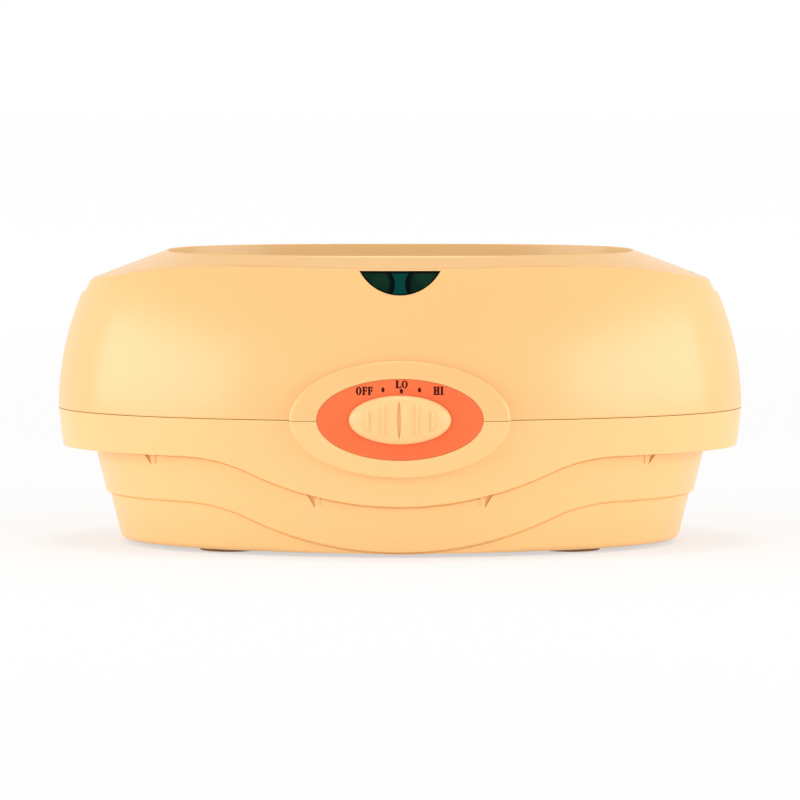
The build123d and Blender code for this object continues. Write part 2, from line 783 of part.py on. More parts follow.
def thermostat_parts():
    """Body, bracket, shaft and lever of the thermostat under the heater plate."""
    y = -thermostat_back
    top = heater_plate_bottom
    low = top - thermostat_height
    body = block((-thermostat_width / 2, y - thermostat_depth / 2, low),
                 (thermostat_width / 2, y + thermostat_depth / 2, top))
    shaft_foot = lever_bottom - shaft_tail
    shaft_head = low + thermostat_height / 2
    bore = shaft_diameter + 2 * shaft_clearance
    body -= rod(0, y, low - past, shaft_head + shaft_clearance, bore)
    shaft = rod(0, y, shaft_foot, shaft_head, shaft_diameter)
    # The bracket passes under the body and has an ear each side against the heater plate
    reach = thermostat_width / 2 + screw_passage_clearance
    outer = reach + bracket_thickness
    half = thermostat_depth / 4
    bracket = block((-outer, y - half, low - bracket_thickness), (outer, y + half, low))
    for side in (1, -1):
        wall_x = sorted((side * reach, side * outer))
        ear_x = sorted((side * reach, side * (outer + bracket_ear)))
        bracket += block((wall_x[0], y - half, low - bracket_thickness), (wall_x[1], y + half, top))
        bracket += block((ear_x[0], y - half, top - bracket_thickness), (ear_x[1], y + half, top))
    bracket -= rod(0, y, low - 2 * bracket_thickness, low + past, bore + 2 * screw_passage_clearance)
    # The lever runs forward to the pin of the slider, which a slot in its end takes
    hub_top = lever_bottom + lever_hub_height
    lever = rod(0, y, lever_bottom, hub_top, lever_hub_diameter)
    slot_half = pin_diameter / 2 + pin_side_clearance
    slot_near = lever_reach - slot_half
    end = sqrt(lever_reach ** 2 + knob_travel ** 2) + pin_side_clearance
    lever += block((-lever_width / 2, y - end, lever_bottom),
                   (lever_width / 2, y, lever_bottom + lever_thickness))
    lever -= block((-slot_half, y - end - past, lever_bottom - past),
                   (slot_half, y - slot_near, hub_top + past))
    lever -= rod(0, y, lever_bottom - past, hub_top + past, shaft_diameter)
    return body, bracket, shaft, lever


def thermal_fuse():
    z = heater_plate_bottom - fuse_diameter / 2 - fuse_gap
    return back_rod(fuse_x, z, -fuse_length / 2, fuse_length / 2, fuse_diameter)


def fuse_clip():
    """Strap over the fuse with a foot each side against the heater plate."""
    inner = fuse_diameter / 2 + fuse_gap
    low = heater_plate_bottom - fuse_diameter - 2 * fuse_gap
    half = fuse_clip_width / 2
    outer = inner + fuse_clip_thickness
    clip = block((fuse_x - outer, -half, low - fuse_clip_thickness),
                 (fuse_x + outer, half, heater_plate_bottom))
    clip += block((fuse_x - outer - half, -half, heater_plate_bottom - fuse_clip_thickness),
                  (fuse_x + outer + half, half, heater_plate_bottom))
    return clip - block((fuse_x - inner, -half - past, low),
                        (fuse_x + inner, half + past, heater_plate_bottom))


def window_lens():
    """Lens let into the upper wall, a little under its outside, with a flange behind the wall."""
    outline = window_outline(-window_clearance, lamp_box_front)
    front = upper_wall(lens_recess, total_height)
    return (outline & front) - upper_wall(lens_recess + lens_thickness, total_height)


def lamp_holder():
    """Open-fronted box behind the lens with a divider between its two lamps."""
    inner_half = lamp_box_half_width - lamp_box_wall
    back = -lamp_box_back
    front = -lamp_box_front
    box = block((-lamp_box_half_width, front, lamp_box_bottom), (lamp_box_half_width, back, lamp_box_top))
    box -= block((-inner_half, front - past, lamp_box_bottom + lamp_box_wall),
                 (inner_half, back - lamp_box_wall, lamp_box_top - lamp_box_wall))
    box += block((-lamp_box_wall / 2, front, lamp_box_bottom), (lamp_box_wall / 2, back, lamp_box_top))
    ear_bottom = lamp_box_top - lamp_ear_thickness
    middle = (front + back) / 2
    for side in (1, -1):
        ends = sorted((side * lamp_box_half_width, side * (lamp_box_half_width + lamp_ear)))
        box += block((ends[0], middle - lamp_boss_diameter / 2, ear_bottom),
                     (ends[1], middle + lamp_boss_diameter / 2, lamp_box_top))
        box -= rod(side * (lamp_box_half_width + lamp_ear / 2), middle, ear_bottom - past,
                   lamp_box_top + past, lamp_screw_diameter + 2 * screw_passage_clearance)
        box -= back_rod(side * lamp_place, (lamp_box_bottom + lamp_box_top) / 2, back - 2 * lamp_box_wall,
                        back + past, lamp_diameter + 2 * screw_thread_clearance)
    return box


def lamp_screws():
    return [screw(x, y, lamp_box_top - lamp_ear_thickness, lamp_screw_length, lamp_screw_diameter,
                  lamp_screw_head, lamp_screw_head_height) for x, y in lamp_boss_places()]


def lamp(side):
    """Neon lamp that stands in a hole of the holder's back, pointing at the lens."""
    back = -lamp_box_back + lamp_box_wall
    height = (lamp_box_bottom + lamp_box_top) / 2
    bulb = back_rod(side * lamp_place, height, back - lamp_length, back, lamp_diameter)
    return fillet(bulb.edges().group_by(Axis.Y)[0], lamp_diameter / 2 - screw_thread_clearance)


def power_inlet():
    flange = block((-inlet_flange_half_width, inlet_pad_face, inlet_height - inlet_flange_half_height),
                   (inlet_flange_half_width, inlet_reach, inlet_height + inlet_flange_half_height))
    rear = inlet_reach - inlet_body_depth
    body = flange + block((-inlet_body_half_width, rear, inlet_height - inlet_body_half_height),
                          (inlet_body_half_width, inlet_reach, inlet_height + inlet_body_half_height))
    body -= block((-inlet_body_half_width + inlet_wall, inlet_reach - inlet_socket_depth,
                   inlet_height - inlet_body_half_height + inlet_wall),
                  (inlet_body_half_width - inlet_wall, inlet_reach + past,
                   inlet_height + inlet_body_half_height - inlet_wall))
    for side in (1, -1):
        body -= back_rod(side * inlet_screw_place, inlet_height, inlet_pad_face - past, inlet_reach + past,
                         inlet_screw_diameter + 2 * screw_passage_clearance)
    for x, z in pin_places():
        body -= pin(x, z)
    return body


def pin_places():
    return [(-inlet_pin_pitch, inlet_height), (inlet_pin_pitch, inlet_height),
            (0, inlet_height + inlet_pin_rise)]


def pin(x, z):
    back = inlet_reach - inlet_socket_depth
    return block((x - inlet_pin_thickness / 2, inlet_tail_end, z - inlet_pin_width / 2),
                 (x + inlet_pin_thickness / 2, back + inlet_pin_proud, z + inlet_pin_width / 2))


def inlet_screws():
    screws = []
    tip = inlet_reach - inlet_screw_length
    top = inlet_reach + inlet_screw_head_height
    for side in (1, -1):
        x = side * inlet_screw_place
        shank = back_rod(x, inlet_height, tip, inlet_reach, inlet_screw_diameter)
        head = back_rod(x, inlet_height, inlet_reach, top, inlet_screw_head)
        screws.append(shank + head)
    return screws


def terminal_block():
    half = terminal_count * terminal_pitch / 2
    top = base_inside + terminal_height
    body = block((terminal_x - half, terminal_y - terminal_depth / 2, base_inside),
                 (terminal_x + half, terminal_y + terminal_depth / 2, top))
    bore = terminal_screw_diameter + 2 * screw_thread_clearance
    for x, y in terminal_places():
        body -= rod(x, y, top - terminal_screw_height, top + past, bore)
    return body


def terminal_places():
    places = []
    for number in range(terminal_count):
        x = terminal_column(number)
        places += [(x, terminal_y - terminal_depth / 4), (x, terminal_y + terminal_depth / 4)]
    return places


def terminal_screws():
    top = base_inside + terminal_height
    foot = top - terminal_screw_height
    return [rod(x, y, foot, top, terminal_screw_diameter) for x, y in terminal_places()]


def lead(*points):
    """Round lead along straight runs joined by arcs as large as the runs allow."""
    radii = []
    for before, corner, after in zip(points, points[1:], points[2:]):
        first = Vector(*corner) - Vector(*before)
        second = Vector(*after) - Vector(*corner)
        run = min(first.length, second.length)
        radii.append(lead_bend_share * run / tan(radians(first.get_angle(second)) / 2))
    path = FilletPolyline(*points, radius=radii)
    start = Plane(origin=points[0], z_dir=Vector(*points[1]) - Vector(*points[0]))
    solid = sweep(start * Circle(lead_diameter / 2), path=path)
    print("lead of", round(path.length), "mm, smallest bend", round(min(radii), 1), "mm")
    return solid


def terminal_column(number):
    return terminal_x + (number - (terminal_count - 1) / 2) * terminal_pitch


def mains_leads():
    """From the inlet's pins down to the back of the terminals."""
    leads = []
    back = terminal_y + terminal_depth / 2
    for number, (x, z) in enumerate(sorted(pin_places()), first_mains_terminal):
        end = terminal_column(number)
        early = x + (end - x) * lead_early_share
        late = x + (end - x) * lead_late_share
        leads.append(lead((x, inlet_tail_end, z),
                          (x, inlet_tail_end - pin_straight, z),
                          (early, inlet_tail_end - pin_bend, z - lead_drop),
                          (late, back + terminal_bend, terminal_middle + lead_sag),
                          (end, back + lead_straight, terminal_middle),
                          (end, back, terminal_middle)))
    return leads


def thermostat_leads():
    """From the front of the terminals to the back of the thermostat."""
    leads = []
    front = terminal_y - terminal_depth / 2
    back = -thermostat_back + thermostat_depth / 2
    for number, end in zip(thermostat_terminals, thermostat_tags):
        x = terminal_column(number)
        early = x + (end - x) * lead_early_share
        late = x + (end - x) * lead_late_share
        leads.append(lead((x, front, terminal_middle),
                          (x, front - lead_straight, terminal_middle),
                          (early, front - 2 * lead_straight, terminal_middle + lead_sag),
                          (late, back + tag_bend, thermostat_middle - lead_sag),
                          (end, back + tag_straight, thermostat_middle),
                          (end, back, thermostat_middle)))
    return leads


def fuse_lead():
    """From the front end of the fuse to the side of the thermostat."""
    z = heater_plate_bottom - fuse_diameter / 2 - fuse_gap
    y = -thermostat_back + thermostat_depth / 2 - lead_diameter
    side = thermostat_width / 2
    return lead((fuse_x, -fuse_length / 2, z),
                (fuse_x, -fuse_length / 2 - lead_straight, z),
                (fuse_x - lead_straight, y, thermostat_middle),
                (side, y, thermostat_middle))


def save(name, *solids):
    """Write one node, moved so that the middle of the whole bath stands over the origin."""
    moved = [Pos(0, frame_shift, 0) * solid for solid in solids]
    shape = moved[0] if len(moved) == 1 else Compound(moved)
    export_step(shape, f"parts/{name}.step")


tabs, tab_screws = tank_tabs()
thermostat, bracket, shaft, lever = thermostat_parts()
save("upper_housing", upper_housing())
save("lower_housing", lower_housing())
save("label_plate", label_plate())
save("slide_knob", slide_knob())
save("slider_carrier", slider_carrier())
save("slider_screw", slider_screw())
save("window_lens", window_lens())
save("feet", *feet())
save("housing_screws", *housing_screws())
save("tank", tank())
save("tank_gasket", tank_gasket())
save("tank_clamps", *tabs)
save("tank_screws", *tab_screws)
save("tank_grille", tank_grille())
save("insulation_wrap", insulation_wrap())
save("heater_mat", heater_mat())
save("heater_plate", heater_plate())
save("heater_studs", *heater_studs())
save("heater_nuts", *heater_nuts())
save("thermostat_body", thermostat)
save("thermostat_bracket", bracket)
save("thermostat_shaft", shaft)
save("thermostat_lever", lever)
save("thermal_fuse", thermal_fuse())
save("fuse_clip", fuse_clip())
save("lamp_holder", lamp_holder())
save("lamp_screws", *lamp_screws())
save("power_lamp", lamp(-1))
save("ready_lamp", lamp(1))
save("power_inlet", power_inlet())
save("inlet_pins", *[pin(x, z) for x, z in pin_places()])
save("inlet_screws", *inlet_screws())
save("terminal_block", terminal_block())
save("terminal_screws", *terminal_screws())
save("mains_leads", *mains_leads())
save("thermostat_leads", *thermostat_leads())
save("fuse_lead", fuse_lead())
print("lever turn in radians at the end of the knob's travel", atan(knob_travel / lever_reach))
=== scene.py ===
# Paraffin bath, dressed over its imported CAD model. Lengths are in millimetres until a mesh is made,
# X to the right, Y to the back, Z up, with the middle of the bath at X = 0, Y = 0.
import bpy
import bmesh
import json
import numpy as np
from contextlib import contextmanager
from math import cos, pi, radians, sin, sqrt
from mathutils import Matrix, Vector


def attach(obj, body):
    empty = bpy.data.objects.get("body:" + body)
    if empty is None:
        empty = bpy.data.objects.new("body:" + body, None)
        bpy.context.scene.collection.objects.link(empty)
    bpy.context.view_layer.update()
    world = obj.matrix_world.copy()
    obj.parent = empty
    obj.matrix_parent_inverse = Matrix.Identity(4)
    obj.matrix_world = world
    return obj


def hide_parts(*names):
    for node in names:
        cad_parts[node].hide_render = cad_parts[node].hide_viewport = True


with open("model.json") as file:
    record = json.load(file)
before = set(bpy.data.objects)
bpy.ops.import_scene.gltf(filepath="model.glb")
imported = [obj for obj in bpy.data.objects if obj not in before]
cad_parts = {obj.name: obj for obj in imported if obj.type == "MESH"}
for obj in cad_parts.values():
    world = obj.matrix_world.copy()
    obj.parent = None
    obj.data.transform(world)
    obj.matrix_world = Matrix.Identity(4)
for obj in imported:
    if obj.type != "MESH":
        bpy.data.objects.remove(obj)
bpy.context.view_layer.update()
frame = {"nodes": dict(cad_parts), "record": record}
print("frame loaded:", len(frame["nodes"]), "nodes")

middleY = 4.1        # the bath's middle stands this far behind the frame's origin
metre = 0.001
clear = 3.0          # how far cutters reach past the faces that they open


def gridFaces(rows, columns, closedRows, closedColumns):
    # quads between neighbouring rows and columns of a grid of points, wrapped where it is closed
    rowStart = np.arange(rows if closedRows else rows - 1)
    columnStart = np.arange(columns if closedColumns else columns - 1)
    r, c = np.meshgrid(rowStart, columnStart, indexing="ij")
    nextRow = (r + 1) % rows
    nextColumn = (c + 1) % columns
    quads = [r * columns + c, r * columns + nextColumn, nextRow * columns + nextColumn, nextRow * columns + c]
    return np.stack(quads, axis=-1).reshape(-1, 4)


def newObject(name, data):
    item = bpy.data.objects.new(name, data)
    bpy.context.scene.collection.objects.link(item)
    return item


@contextmanager
def editing(mesh):
    # the mesh as one that bmesh can work on, written back afterwards
    work = bmesh.new()
    work.from_mesh(mesh)
    yield work
    work.to_mesh(mesh)
    work.free()


def meshObject(name, points, faces, smooth=35.0, merge=0.0):
    # points in millimetres become a mesh in metres, turned inside out where its signed volume is negative
    placed = (np.asarray(points, float).reshape(-1, 3) + (0.0, middleY, 0.0)) * metre
    mesh = bpy.data.meshes.new(name)
    mesh.from_pydata(placed.tolist(), [], [list(face) for face in faces])
    with editing(mesh) as work:
        if merge:
            bmesh.ops.remove_doubles(work, verts=work.verts, dist=merge * metre)
        if work.calc_volume(signed=True) < 0:
            bmesh.ops.reverse_faces(work, faces=work.faces)
    piece = newObject(name, mesh)
    shade(piece, smooth)
    return piece


def shade(piece, angle):
    # smooth faces, with a crease wherever two of them meet at more than the angle
    mesh = piece.data
    mesh.polygons.foreach_set("use_smooth", np.ones(len(mesh.polygons), bool))
    mesh.set_sharp_from_angle(angle=radians(angle))
    mesh.update()


def closedShape(name, rows, smooth=35.0):
    # ring-shaped skin: closed along the rows and round the columns
    grid = np.stack(rows)
    return meshObject(name, grid, gridFaces(*grid.shape[:2], True, True), smooth)


def cappedShape(name, rows):
    # skin closed round the columns, whose first and last rows are shut by a fan to their middle
    grid = np.stack(rows)
    count, columns = grid.shape[:2]
    points = np.vstack([grid.reshape(-1, 3), grid[0].mean(0), grid[-1].mean(0)])
    size = count * columns
    ring = np.arange(columns)
    turned = (ring + 1) % columns
    last = size - columns
    fans = [np.stack([turned, ring, np.full(columns, size)], axis=1),
            np.stack([last + ring, last + turned, np.full(columns, size + 1)], axis=1)]
    faces = gridFaces(count, columns, False, True).tolist() + np.vstack(fans).tolist()
    return meshObject(name, points, faces)


def prismFaces(count):
    # side faces and both ends of an outline carried from one place to another
    ends = [list(range(count))[::-1], list(range(count, 2 * count))]
    return gridFaces(2, count, False, True).tolist() + ends


def upright(outline, y):
    # points on an outline of X and Z, all at one depth
    return np.insert(outline, 1, y, axis=1)


def level(outline, z):
    # points on an outline of X and Y, all at one height
    return np.insert(outline, 2, z, axis=1)


def prism(name, outline, front, back):
    # upright outline carried along Y
    outline = np.asarray(outline, float)
    points = np.vstack([upright(outline, front), upright(outline, back)])
    return meshObject(name, points, prismFaces(len(outline)))


def box(name, low, high):
    outline = [(low[0], low[2]), (high[0], low[2]), (high[0], high[2]), (low[0], high[2])]
    return prism(name, outline, low[1], high[1])


def joined(name, pieces, smooth=35.0):
    # several pieces become one mesh
    mesh = bpy.data.meshes.new(name)
    with editing(mesh) as work:
        for piece in pieces:
            work.from_mesh(piece.data)
            bpy.data.objects.remove(piece)
    whole = newObject(name, mesh)
    shade(whole, smooth)
    return whole


def combine(piece, other, operation):
    # the modifier's result replaces the piece's mesh, and the other piece is used up
    modifier = piece.modifiers.new("cut", "BOOLEAN")
    modifier.operation = operation
    modifier.object = other
    modifier.solver = "MANIFOLD"
    bpy.context.view_layer.update()
    ready = piece.evaluated_get(bpy.context.evaluated_depsgraph_get())
    mesh = bpy.data.meshes.new_from_object(ready)
    piece.modifiers.clear()
    piece.data = mesh
    mesh.name = piece.name
    bpy.data.objects.remove(other)


def carve(piece, added, removed, smooth=30.0):
    # pieces become part of another one, and then others are cut out of it
    for other in added:
        combine(piece, other, "UNION")
    for other in removed:
        combine(piece, other, "DIFFERENCE")
    shade(piece, smooth)
    return piece


def turns(count):
    return np.linspace(0, 2 * pi, count, endpoint=False)


def ovalRow(turn, half, height, power):
    # one ring of points on an oval, whose half sizes and height may change from column to column. It reaches
    # one over the power-th root of |cos|^power + |sin|^power, times the half size
    reach = (np.abs(np.cos(turn)) ** power + np.abs(np.sin(turn)) ** power) ** (-1.0 / power)
    x = half[0] * reach * np.cos(turn)
    y = half[1] * reach * np.sin(turn)
    return np.stack([x, y, np.broadcast_to(height, x.shape)], axis=-1)


def grown(half, by):
    # a pair of half sizes, both larger by the same
    return [size + by for size in half]


def straight(first, last, shares):
    # stations without a radius, along the straight lines between two rows
    return [(first + (last - first) * share, 0) for share in shares]


def rounded(stations, closed, steps=5, hold=0.35):
    # stations are (row, radius). A corner with a radius becomes an arc that touches both runs, drawn as a
    # rational curve of the second degree, with one more row a little way along each run to keep it flat
    rows = []
    count = len(stations)
    for number, (corner, radius) in enumerate(stations):
        inner = closed or 0 < number < count - 1
        if not radius or not inner:
            rows.append(corner)
            continue
        toBefore = stations[number - 1][0] - corner
        toAfter = stations[(number + 1) % count][0] - corner
        lengthBefore = np.linalg.norm(toBefore, axis=-1, keepdims=True)
        lengthAfter = np.linalg.norm(toAfter, axis=-1, keepdims=True)
        toBefore = toBefore / np.maximum(lengthBefore, 1e-6)
        toAfter = toAfter / np.maximum(lengthAfter, 1e-6)
        cosine = np.clip((toBefore * toAfter).sum(-1, keepdims=True), -0.9999, 0.9999)
        half = np.arccos(cosine) / 2
        room = 0.45 * np.minimum(lengthBefore, lengthAfter)
        touch = np.minimum(radius / np.tan(half), room)
        weight = np.sin(half)
        reachBefore = np.minimum(touch + hold, lengthBefore * 0.49)
        reachAfter = np.minimum(touch + hold, lengthAfter * 0.49)
        rows.append(corner + toBefore * reachBefore)
        start = corner + toBefore * touch
        end = corner + toAfter * touch
        for share in np.linspace(0.0, 1.0, steps + 1):
            a, b, c = (1 - share) ** 2, 2 * share * (1 - share) * weight, share ** 2
            rows.append((a * start + b * corner + c * end) / (a + b + c))
        rows.append(corner + toAfter * reachAfter)
    return rows


# a pair of numbers is half the width and half the depth or height of something, or its place off the middle
body = {
    "half": (185.0, 120.0), "power": 2.08, "seam": 73.2, "seamGap": 0.22, "seamEdge": 0.5,
    "bow": 157.0, "wall": 2.5, "columns": 640,
}
top = {
    "rim": (131.0, 85.0), "rimPower": 2.6, "rimFoot": 156.2, "height": 158.0,
    "sideSlope": 0.38, "frontSlope": 0.35, "run": 60.0, "creaseEdge": 0.9, "beadWidth": 1.3,
    "grooveWidth": 1.1, "grooveDepth": 0.6, "grooveFade": (120.0, 150.0),
    "lipSlope": 4.3, "lipLand": 1.2, "lipEdge": 0.35, "lipBevel": 0.9, "bevelSlope": 0.85,
    "footEdge": 1.0, "bevelEdge": 0.2, "skirtEdge": 0.5, "skirtBottom": 141.0, "mouth": (124.14, 78.14),
    "underLip": 0.4, "endWall": 2.4, "endReach": 26.0,
    "stepHeight": 136.0, "stepRise": 4.0, "stepInset": 2.2, "stepBeyond": 5.0, "stepReach": 60.0,
}
base = {
    "draft": 0.12, "ledge": 52.8, "spacing": 24.8, "dip": 25.1, "hollow": 190.0, "crest": 85.0,
    "middle": (165.3, 114.6), "middleDraft": (0.245, 0.16), "lowerStep": 2.0, "bottom": 2.2,
    "bottomEdge": 4.0, "ledgeEdge": 0.5, "lowerEdge": 0.4, "recessEdge": 0.2, "rootEdge": 0.25,
    "notchPlaces": (45.0, 133.0), "notchWidth": 4.2, "notchHeight": 6.4, "notchDepth": 2.0,
    "notchRise": 1.0, "notchOut": 4.0, "fin": (-2.8, -1.5), "finHeight": 5.4, "finRise": 0.4,
    "shadowDepth": 0.6, "shadowHeight": 0.65, "shadowFade": 2.0,
    "screws": (120.0, 53.0), "screwRadius": 4.0, "screwDepth": 16.0,
}
control = {
    "height": 74.0, "bezel": (58.0, 30.8), "bezelFace": 122.3, "bezelEdge": 1.8, "bezelFlat": 0.4,
    "bezelMiddle": 12.0, "bezelBack": 100.0, "bezelWall": 1.8, "cavityBack": 94.0,
    "plate": (43.6, 21.3), "plateThickness": 1.0, "plateGap": 0.15, "plateEdge": 0.3,
    "slot": (20.4, 2.7), "slotDepth": 6.0,
}
frontFace = -control["bezelFace"]


def bow(height):
    # how far the upper wall leans in: the rise of a circular arc over the seam
    return body["bow"] - np.sqrt(body["bow"] ** 2 - (height - body["seam"]) ** 2)


def wallHalf(height, inset):
    # half sizes of the upper wall at a height
    return grown(body["half"], -bow(height) - inset)


def wallRow(turn, height, inset):
    return ovalRow(turn, wallHalf(height, inset), height, body["power"])


def shoulderRow(turn, run, drop):
    # ring on the sloping shoulder, run from 0 at the lip to 1 at its foot
    fall = top["sideSlope"] * top["run"]
    half = top["rim"][0] + top["run"] * run, top["rim"][1] + fall / top["frontSlope"] * run
    return ovalRow(turn, half, top["rimFoot"] - fall * run - drop, top["rimPower"])


def creaseRun(turn, inset, drop):
    # share of the shoulder's run at which it meets the wall, found by halving
    low = np.zeros_like(turn)
    high = np.ones_like(turn)
    for _ in range(40):
        middle = (low + high) / 2
        point = shoulderRow(turn, middle, drop)
        halfWidth, halfDepth = wallHalf(point[:, 2], inset)
        inside = (np.abs(point[:, 0]) / halfWidth) ** body["power"] \
            + (np.abs(point[:, 1]) / halfDepth) ** body["power"] < 1
        low = np.where(inside, middle, low)
        high = np.where(inside, high, middle)
    return (low + high) / 2


def wallTurn(point, inset):
    # the wall oval's own angle at a point of the crease
    halfWidth, halfDepth = wallHalf(point[:, 2], inset)
    return np.arctan2(point[:, 1] / halfDepth, point[:, 0] / halfWidth)


def waveHeight(x, lowest):
    # a hollow arc in the middle that runs over into a crest arc at each side and then level
    dip, hollow, crest = base["dip"], base["hollow"], base["crest"]
    turn = np.arccos(1 - dip / (hollow + crest))
    join, flat = hollow * np.sin(turn), (hollow + crest) * np.sin(turn)
    away = np.abs(x)
    inner = lowest + hollow - np.sqrt(np.maximum(hollow ** 2 - np.minimum(away, join) ** 2, 0))
    outer = lowest + dip - crest + np.sqrt(np.maximum(crest ** 2 - np.clip(flat - away, 0, crest) ** 2, 0))
    return np.where(away < join, inner, np.where(away < flat, outer, lowest + dip))


def upperTierRow(turn, height, inset):
    half = grown(body["half"], -inset - base["draft"] * (body["seam"] - height))
    return ovalRow(turn, half, height, body["power"])


def coneHalf(height, inset):
    # half sizes of the middle tier, which leans in differently at its front and its sides
    down = base["ledge"] - height
    return [size - inset - draft * down for size, draft in zip(base["middle"], base["middleDraft"])]


def coneRow(turn, height, inset):
    return ovalRow(turn, coneHalf(height, inset), height, body["power"])


def onWave(rowAt, turn, lowest, inset):
    # ring where a tier meets a wave, found by repeating height from X and X from height
    height = np.full_like(turn, lowest)
    for _ in range(12):
        height = waveHeight(rowAt(turn, height, inset)[:, 0], lowest)
    return rowAt(turn, height, inset)


def ellipse(x, z, half, count):
    turn = turns(count)
    return np.stack([x + half[0] * np.cos(turn), z + half[1] * np.sin(turn)], axis=1)


def controlOval(half, count=200):
    # ellipse round the middle of the controls
    return ellipse(0.0, control["height"], half, count)


def controlBox(name, half, front, back):
    # box round the middle of the controls
    x, z, middle = *half, control["height"]
    return box(name, (-x, front, middle - z), (x, back, middle + z))


def bezelBlock(name, above):
    # rounded elliptical block round the controls, cut off at the seam
    edge, flat = control["bezelEdge"], control["bezelFlat"]
    rows = [(0.0, -control["bezelBack"]), (0.0, frontFace + edge + flat)]
    for share in np.linspace(0.0, 1.0, 7):
        rows.append((edge * (1 - cos(share * pi / 2)), frontFace + edge * (1 - sin(share * pi / 2))))
    rows += [(edge + flat, frontFace), (control["bezelMiddle"], frontFace)]
    rings = [upright(controlOval(grown(control["bezel"], -inset), 400), y) for inset, y in rows]
    piece = cappedShape(name, rings)
    side = 1 if above else -1
    cutHeight = body["seam"] + side * body["seamGap"] / 2
    with editing(piece.data) as work:
        cut = bmesh.ops.bisect_plane(work, geom=work.verts[:] + work.edges[:] + work.faces[:], dist=1e-7,
                                     plane_co=(0, 0, cutHeight * metre), plane_no=(0, 0, -side),
                                     clear_outer=True)
        edges = [item for item in cut["geom_cut"] if isinstance(item, bmesh.types.BMEdge)]
        bmesh.ops.holes_fill(work, edges=edges)
        bmesh.ops.recalc_face_normals(work, faces=work.faces)
    return piece


def controlCutters():
    # what is taken out of both shells behind the plate: its seat, the slot and the space for the slider
    seat = prism("seatCut", controlOval(grown(control["plate"], control["plateGap"])),
                 frontFace - clear, frontFace + control["plateThickness"])
    slot = controlBox("slotCut", control["slot"], frontFace - clear, frontFace + control["slotDepth"])
    cavity = prism("cavityCut", controlOval(grown(control["bezel"], -control["bezelWall"])),
                   frontFace + body["wall"], -control["cavityBack"])
    return [seat, slot, cavity]


def upperShell():
    # one closed skin: up the bowed wall, over the crease, up the shoulder, over the lip, down the opening
    # and back along the inside
    turn = turns(body["columns"])
    low = body["seam"] + body["seamGap"] / 2
    run = creaseRun(turn, 0.0, 0.0)
    crease = shoulderRow(turn, run, 0.0)
    outTurn = wallTurn(crease, 0.0)
    stations = [(wallRow(outTurn, low, 0.0), body["seamEdge"])]
    stations += [(wallRow(outTurn, low + (crease[:, 2] - low) * share, 0.0), 0)
                 for share in np.linspace(0.035, 0.955, 22)]
    stations.append((crease, top["creaseEdge"]))
    # a bead runs along the crease, parted from the shoulder by a narrow groove that fades out at the ends
    start, end = top["grooveFade"]
    depth = top["grooveDepth"] * np.clip((end - np.abs(crease[:, 0])) / (end - start), 0.0, 1.0)
    for share, sunk in ((0.0, 0.0), (0.2, 1.0), (0.8, 1.0), (1.0, 0.0)):
        inward = (top["beadWidth"] + top["grooveWidth"] * share) / top["run"]
        stations.append((shoulderRow(turn, run - inward, depth * sunk), 0))
    stations += [(shoulderRow(turn, run * share, 0.0), 0) for share in (0.78, 0.5, 0.25)]
    lipFoot = shoulderRow(turn, 0.0, 0.0)

    def oval(half, height):
        return ovalRow(turn, half, height, top["rimPower"])

    height, bevel, skirt = top["height"], top["lipBevel"], top["skirtEdge"]
    land = grown(top["rim"], -top["lipSlope"])
    behind = grown(top["mouth"], body["wall"])
    stations += [(lipFoot, top["footEdge"]),
                 (oval(grown(land, bevel), height - top["bevelSlope"] * bevel), top["bevelEdge"]),
                 (oval(land, height), top["lipEdge"]),
                 (oval(grown(land, -top["lipLand"]), height), top["lipEdge"]),
                 (oval(top["mouth"], top["skirtBottom"]), skirt), (oval(behind, top["skirtBottom"]), skirt)]
    drop = body["wall"] * sqrt(1 + top["sideSlope"] ** 2)
    endWall = body["wall"] + top["endWall"] * np.exp(-(lipFoot[:, 1] / top["endReach"]) ** 4)
    innerRun = creaseRun(turn, endWall, drop)
    innerCrease = shoulderRow(turn, innerRun, drop)
    inTurn = wallTurn(innerCrease, endWall)
    stations += [(oval(behind, top["rimFoot"] - drop - top["underLip"]), skirt),
                 (shoulderRow(turn, innerRun * 0.5, drop), 0), (innerCrease, 0)]
    stations += [(wallRow(inTurn, low + (innerCrease[:, 2] - low) * share, endWall), 0)
                 for share in (0.75, 0.5, 0.25)]
    stations.append((wallRow(inTurn, low, body["wall"]), 0))
    return carve(closedShape("upperShell", rounded(stations, True)), [bezelBlock("bezelTop", True)],
                 controlCutters() + [windowCutter()] + endStepCutters())


window = {"halfWidth": 21.4, "top": 150.9, "height": 12.7, "clearance": 0.15, "recess": 0.4, "thickness": 1.8,
          "crown": 0.3, "cutBack": 94.5}


def halfMoon(inset):
    # half width and top of the half moon, and the circular arc under it as a height for any X
    half = window["halfWidth"] - inset
    high = window["top"] - inset
    drop = window["height"] - 2 * inset
    radius = (half ** 2 + drop ** 2) / (2 * drop)
    return half, high, lambda x: high - drop + radius - np.sqrt(radius ** 2 - x ** 2)


def windowCutter():
    half, _, arc = halfMoon(0.0)
    x = np.linspace(half, -half, 60)
    return prism("windowCut", np.stack([x, arc(x)], axis=1), -body["half"][1], -window["cutBack"])


def endStepCutters():
    # shallow step at the top of each end
    low, high = top["stepHeight"], top["height"] + top["stepRise"]
    x = body["half"][0] - float(bow(low)) - top["stepInset"]
    highX = x - (float(bow(top["height"])) - float(bow(low)))
    farX = body["half"][0] + top["stepBeyond"]
    outline = np.array([(x, low), (highX, high), (farX, high), (farX, low - top["sideSlope"] * (farX - x))])
    reach = top["stepReach"]
    return [prism("stepCut", side, -reach, reach) for side in (outline, outline[::-1] * (-1, 1))]


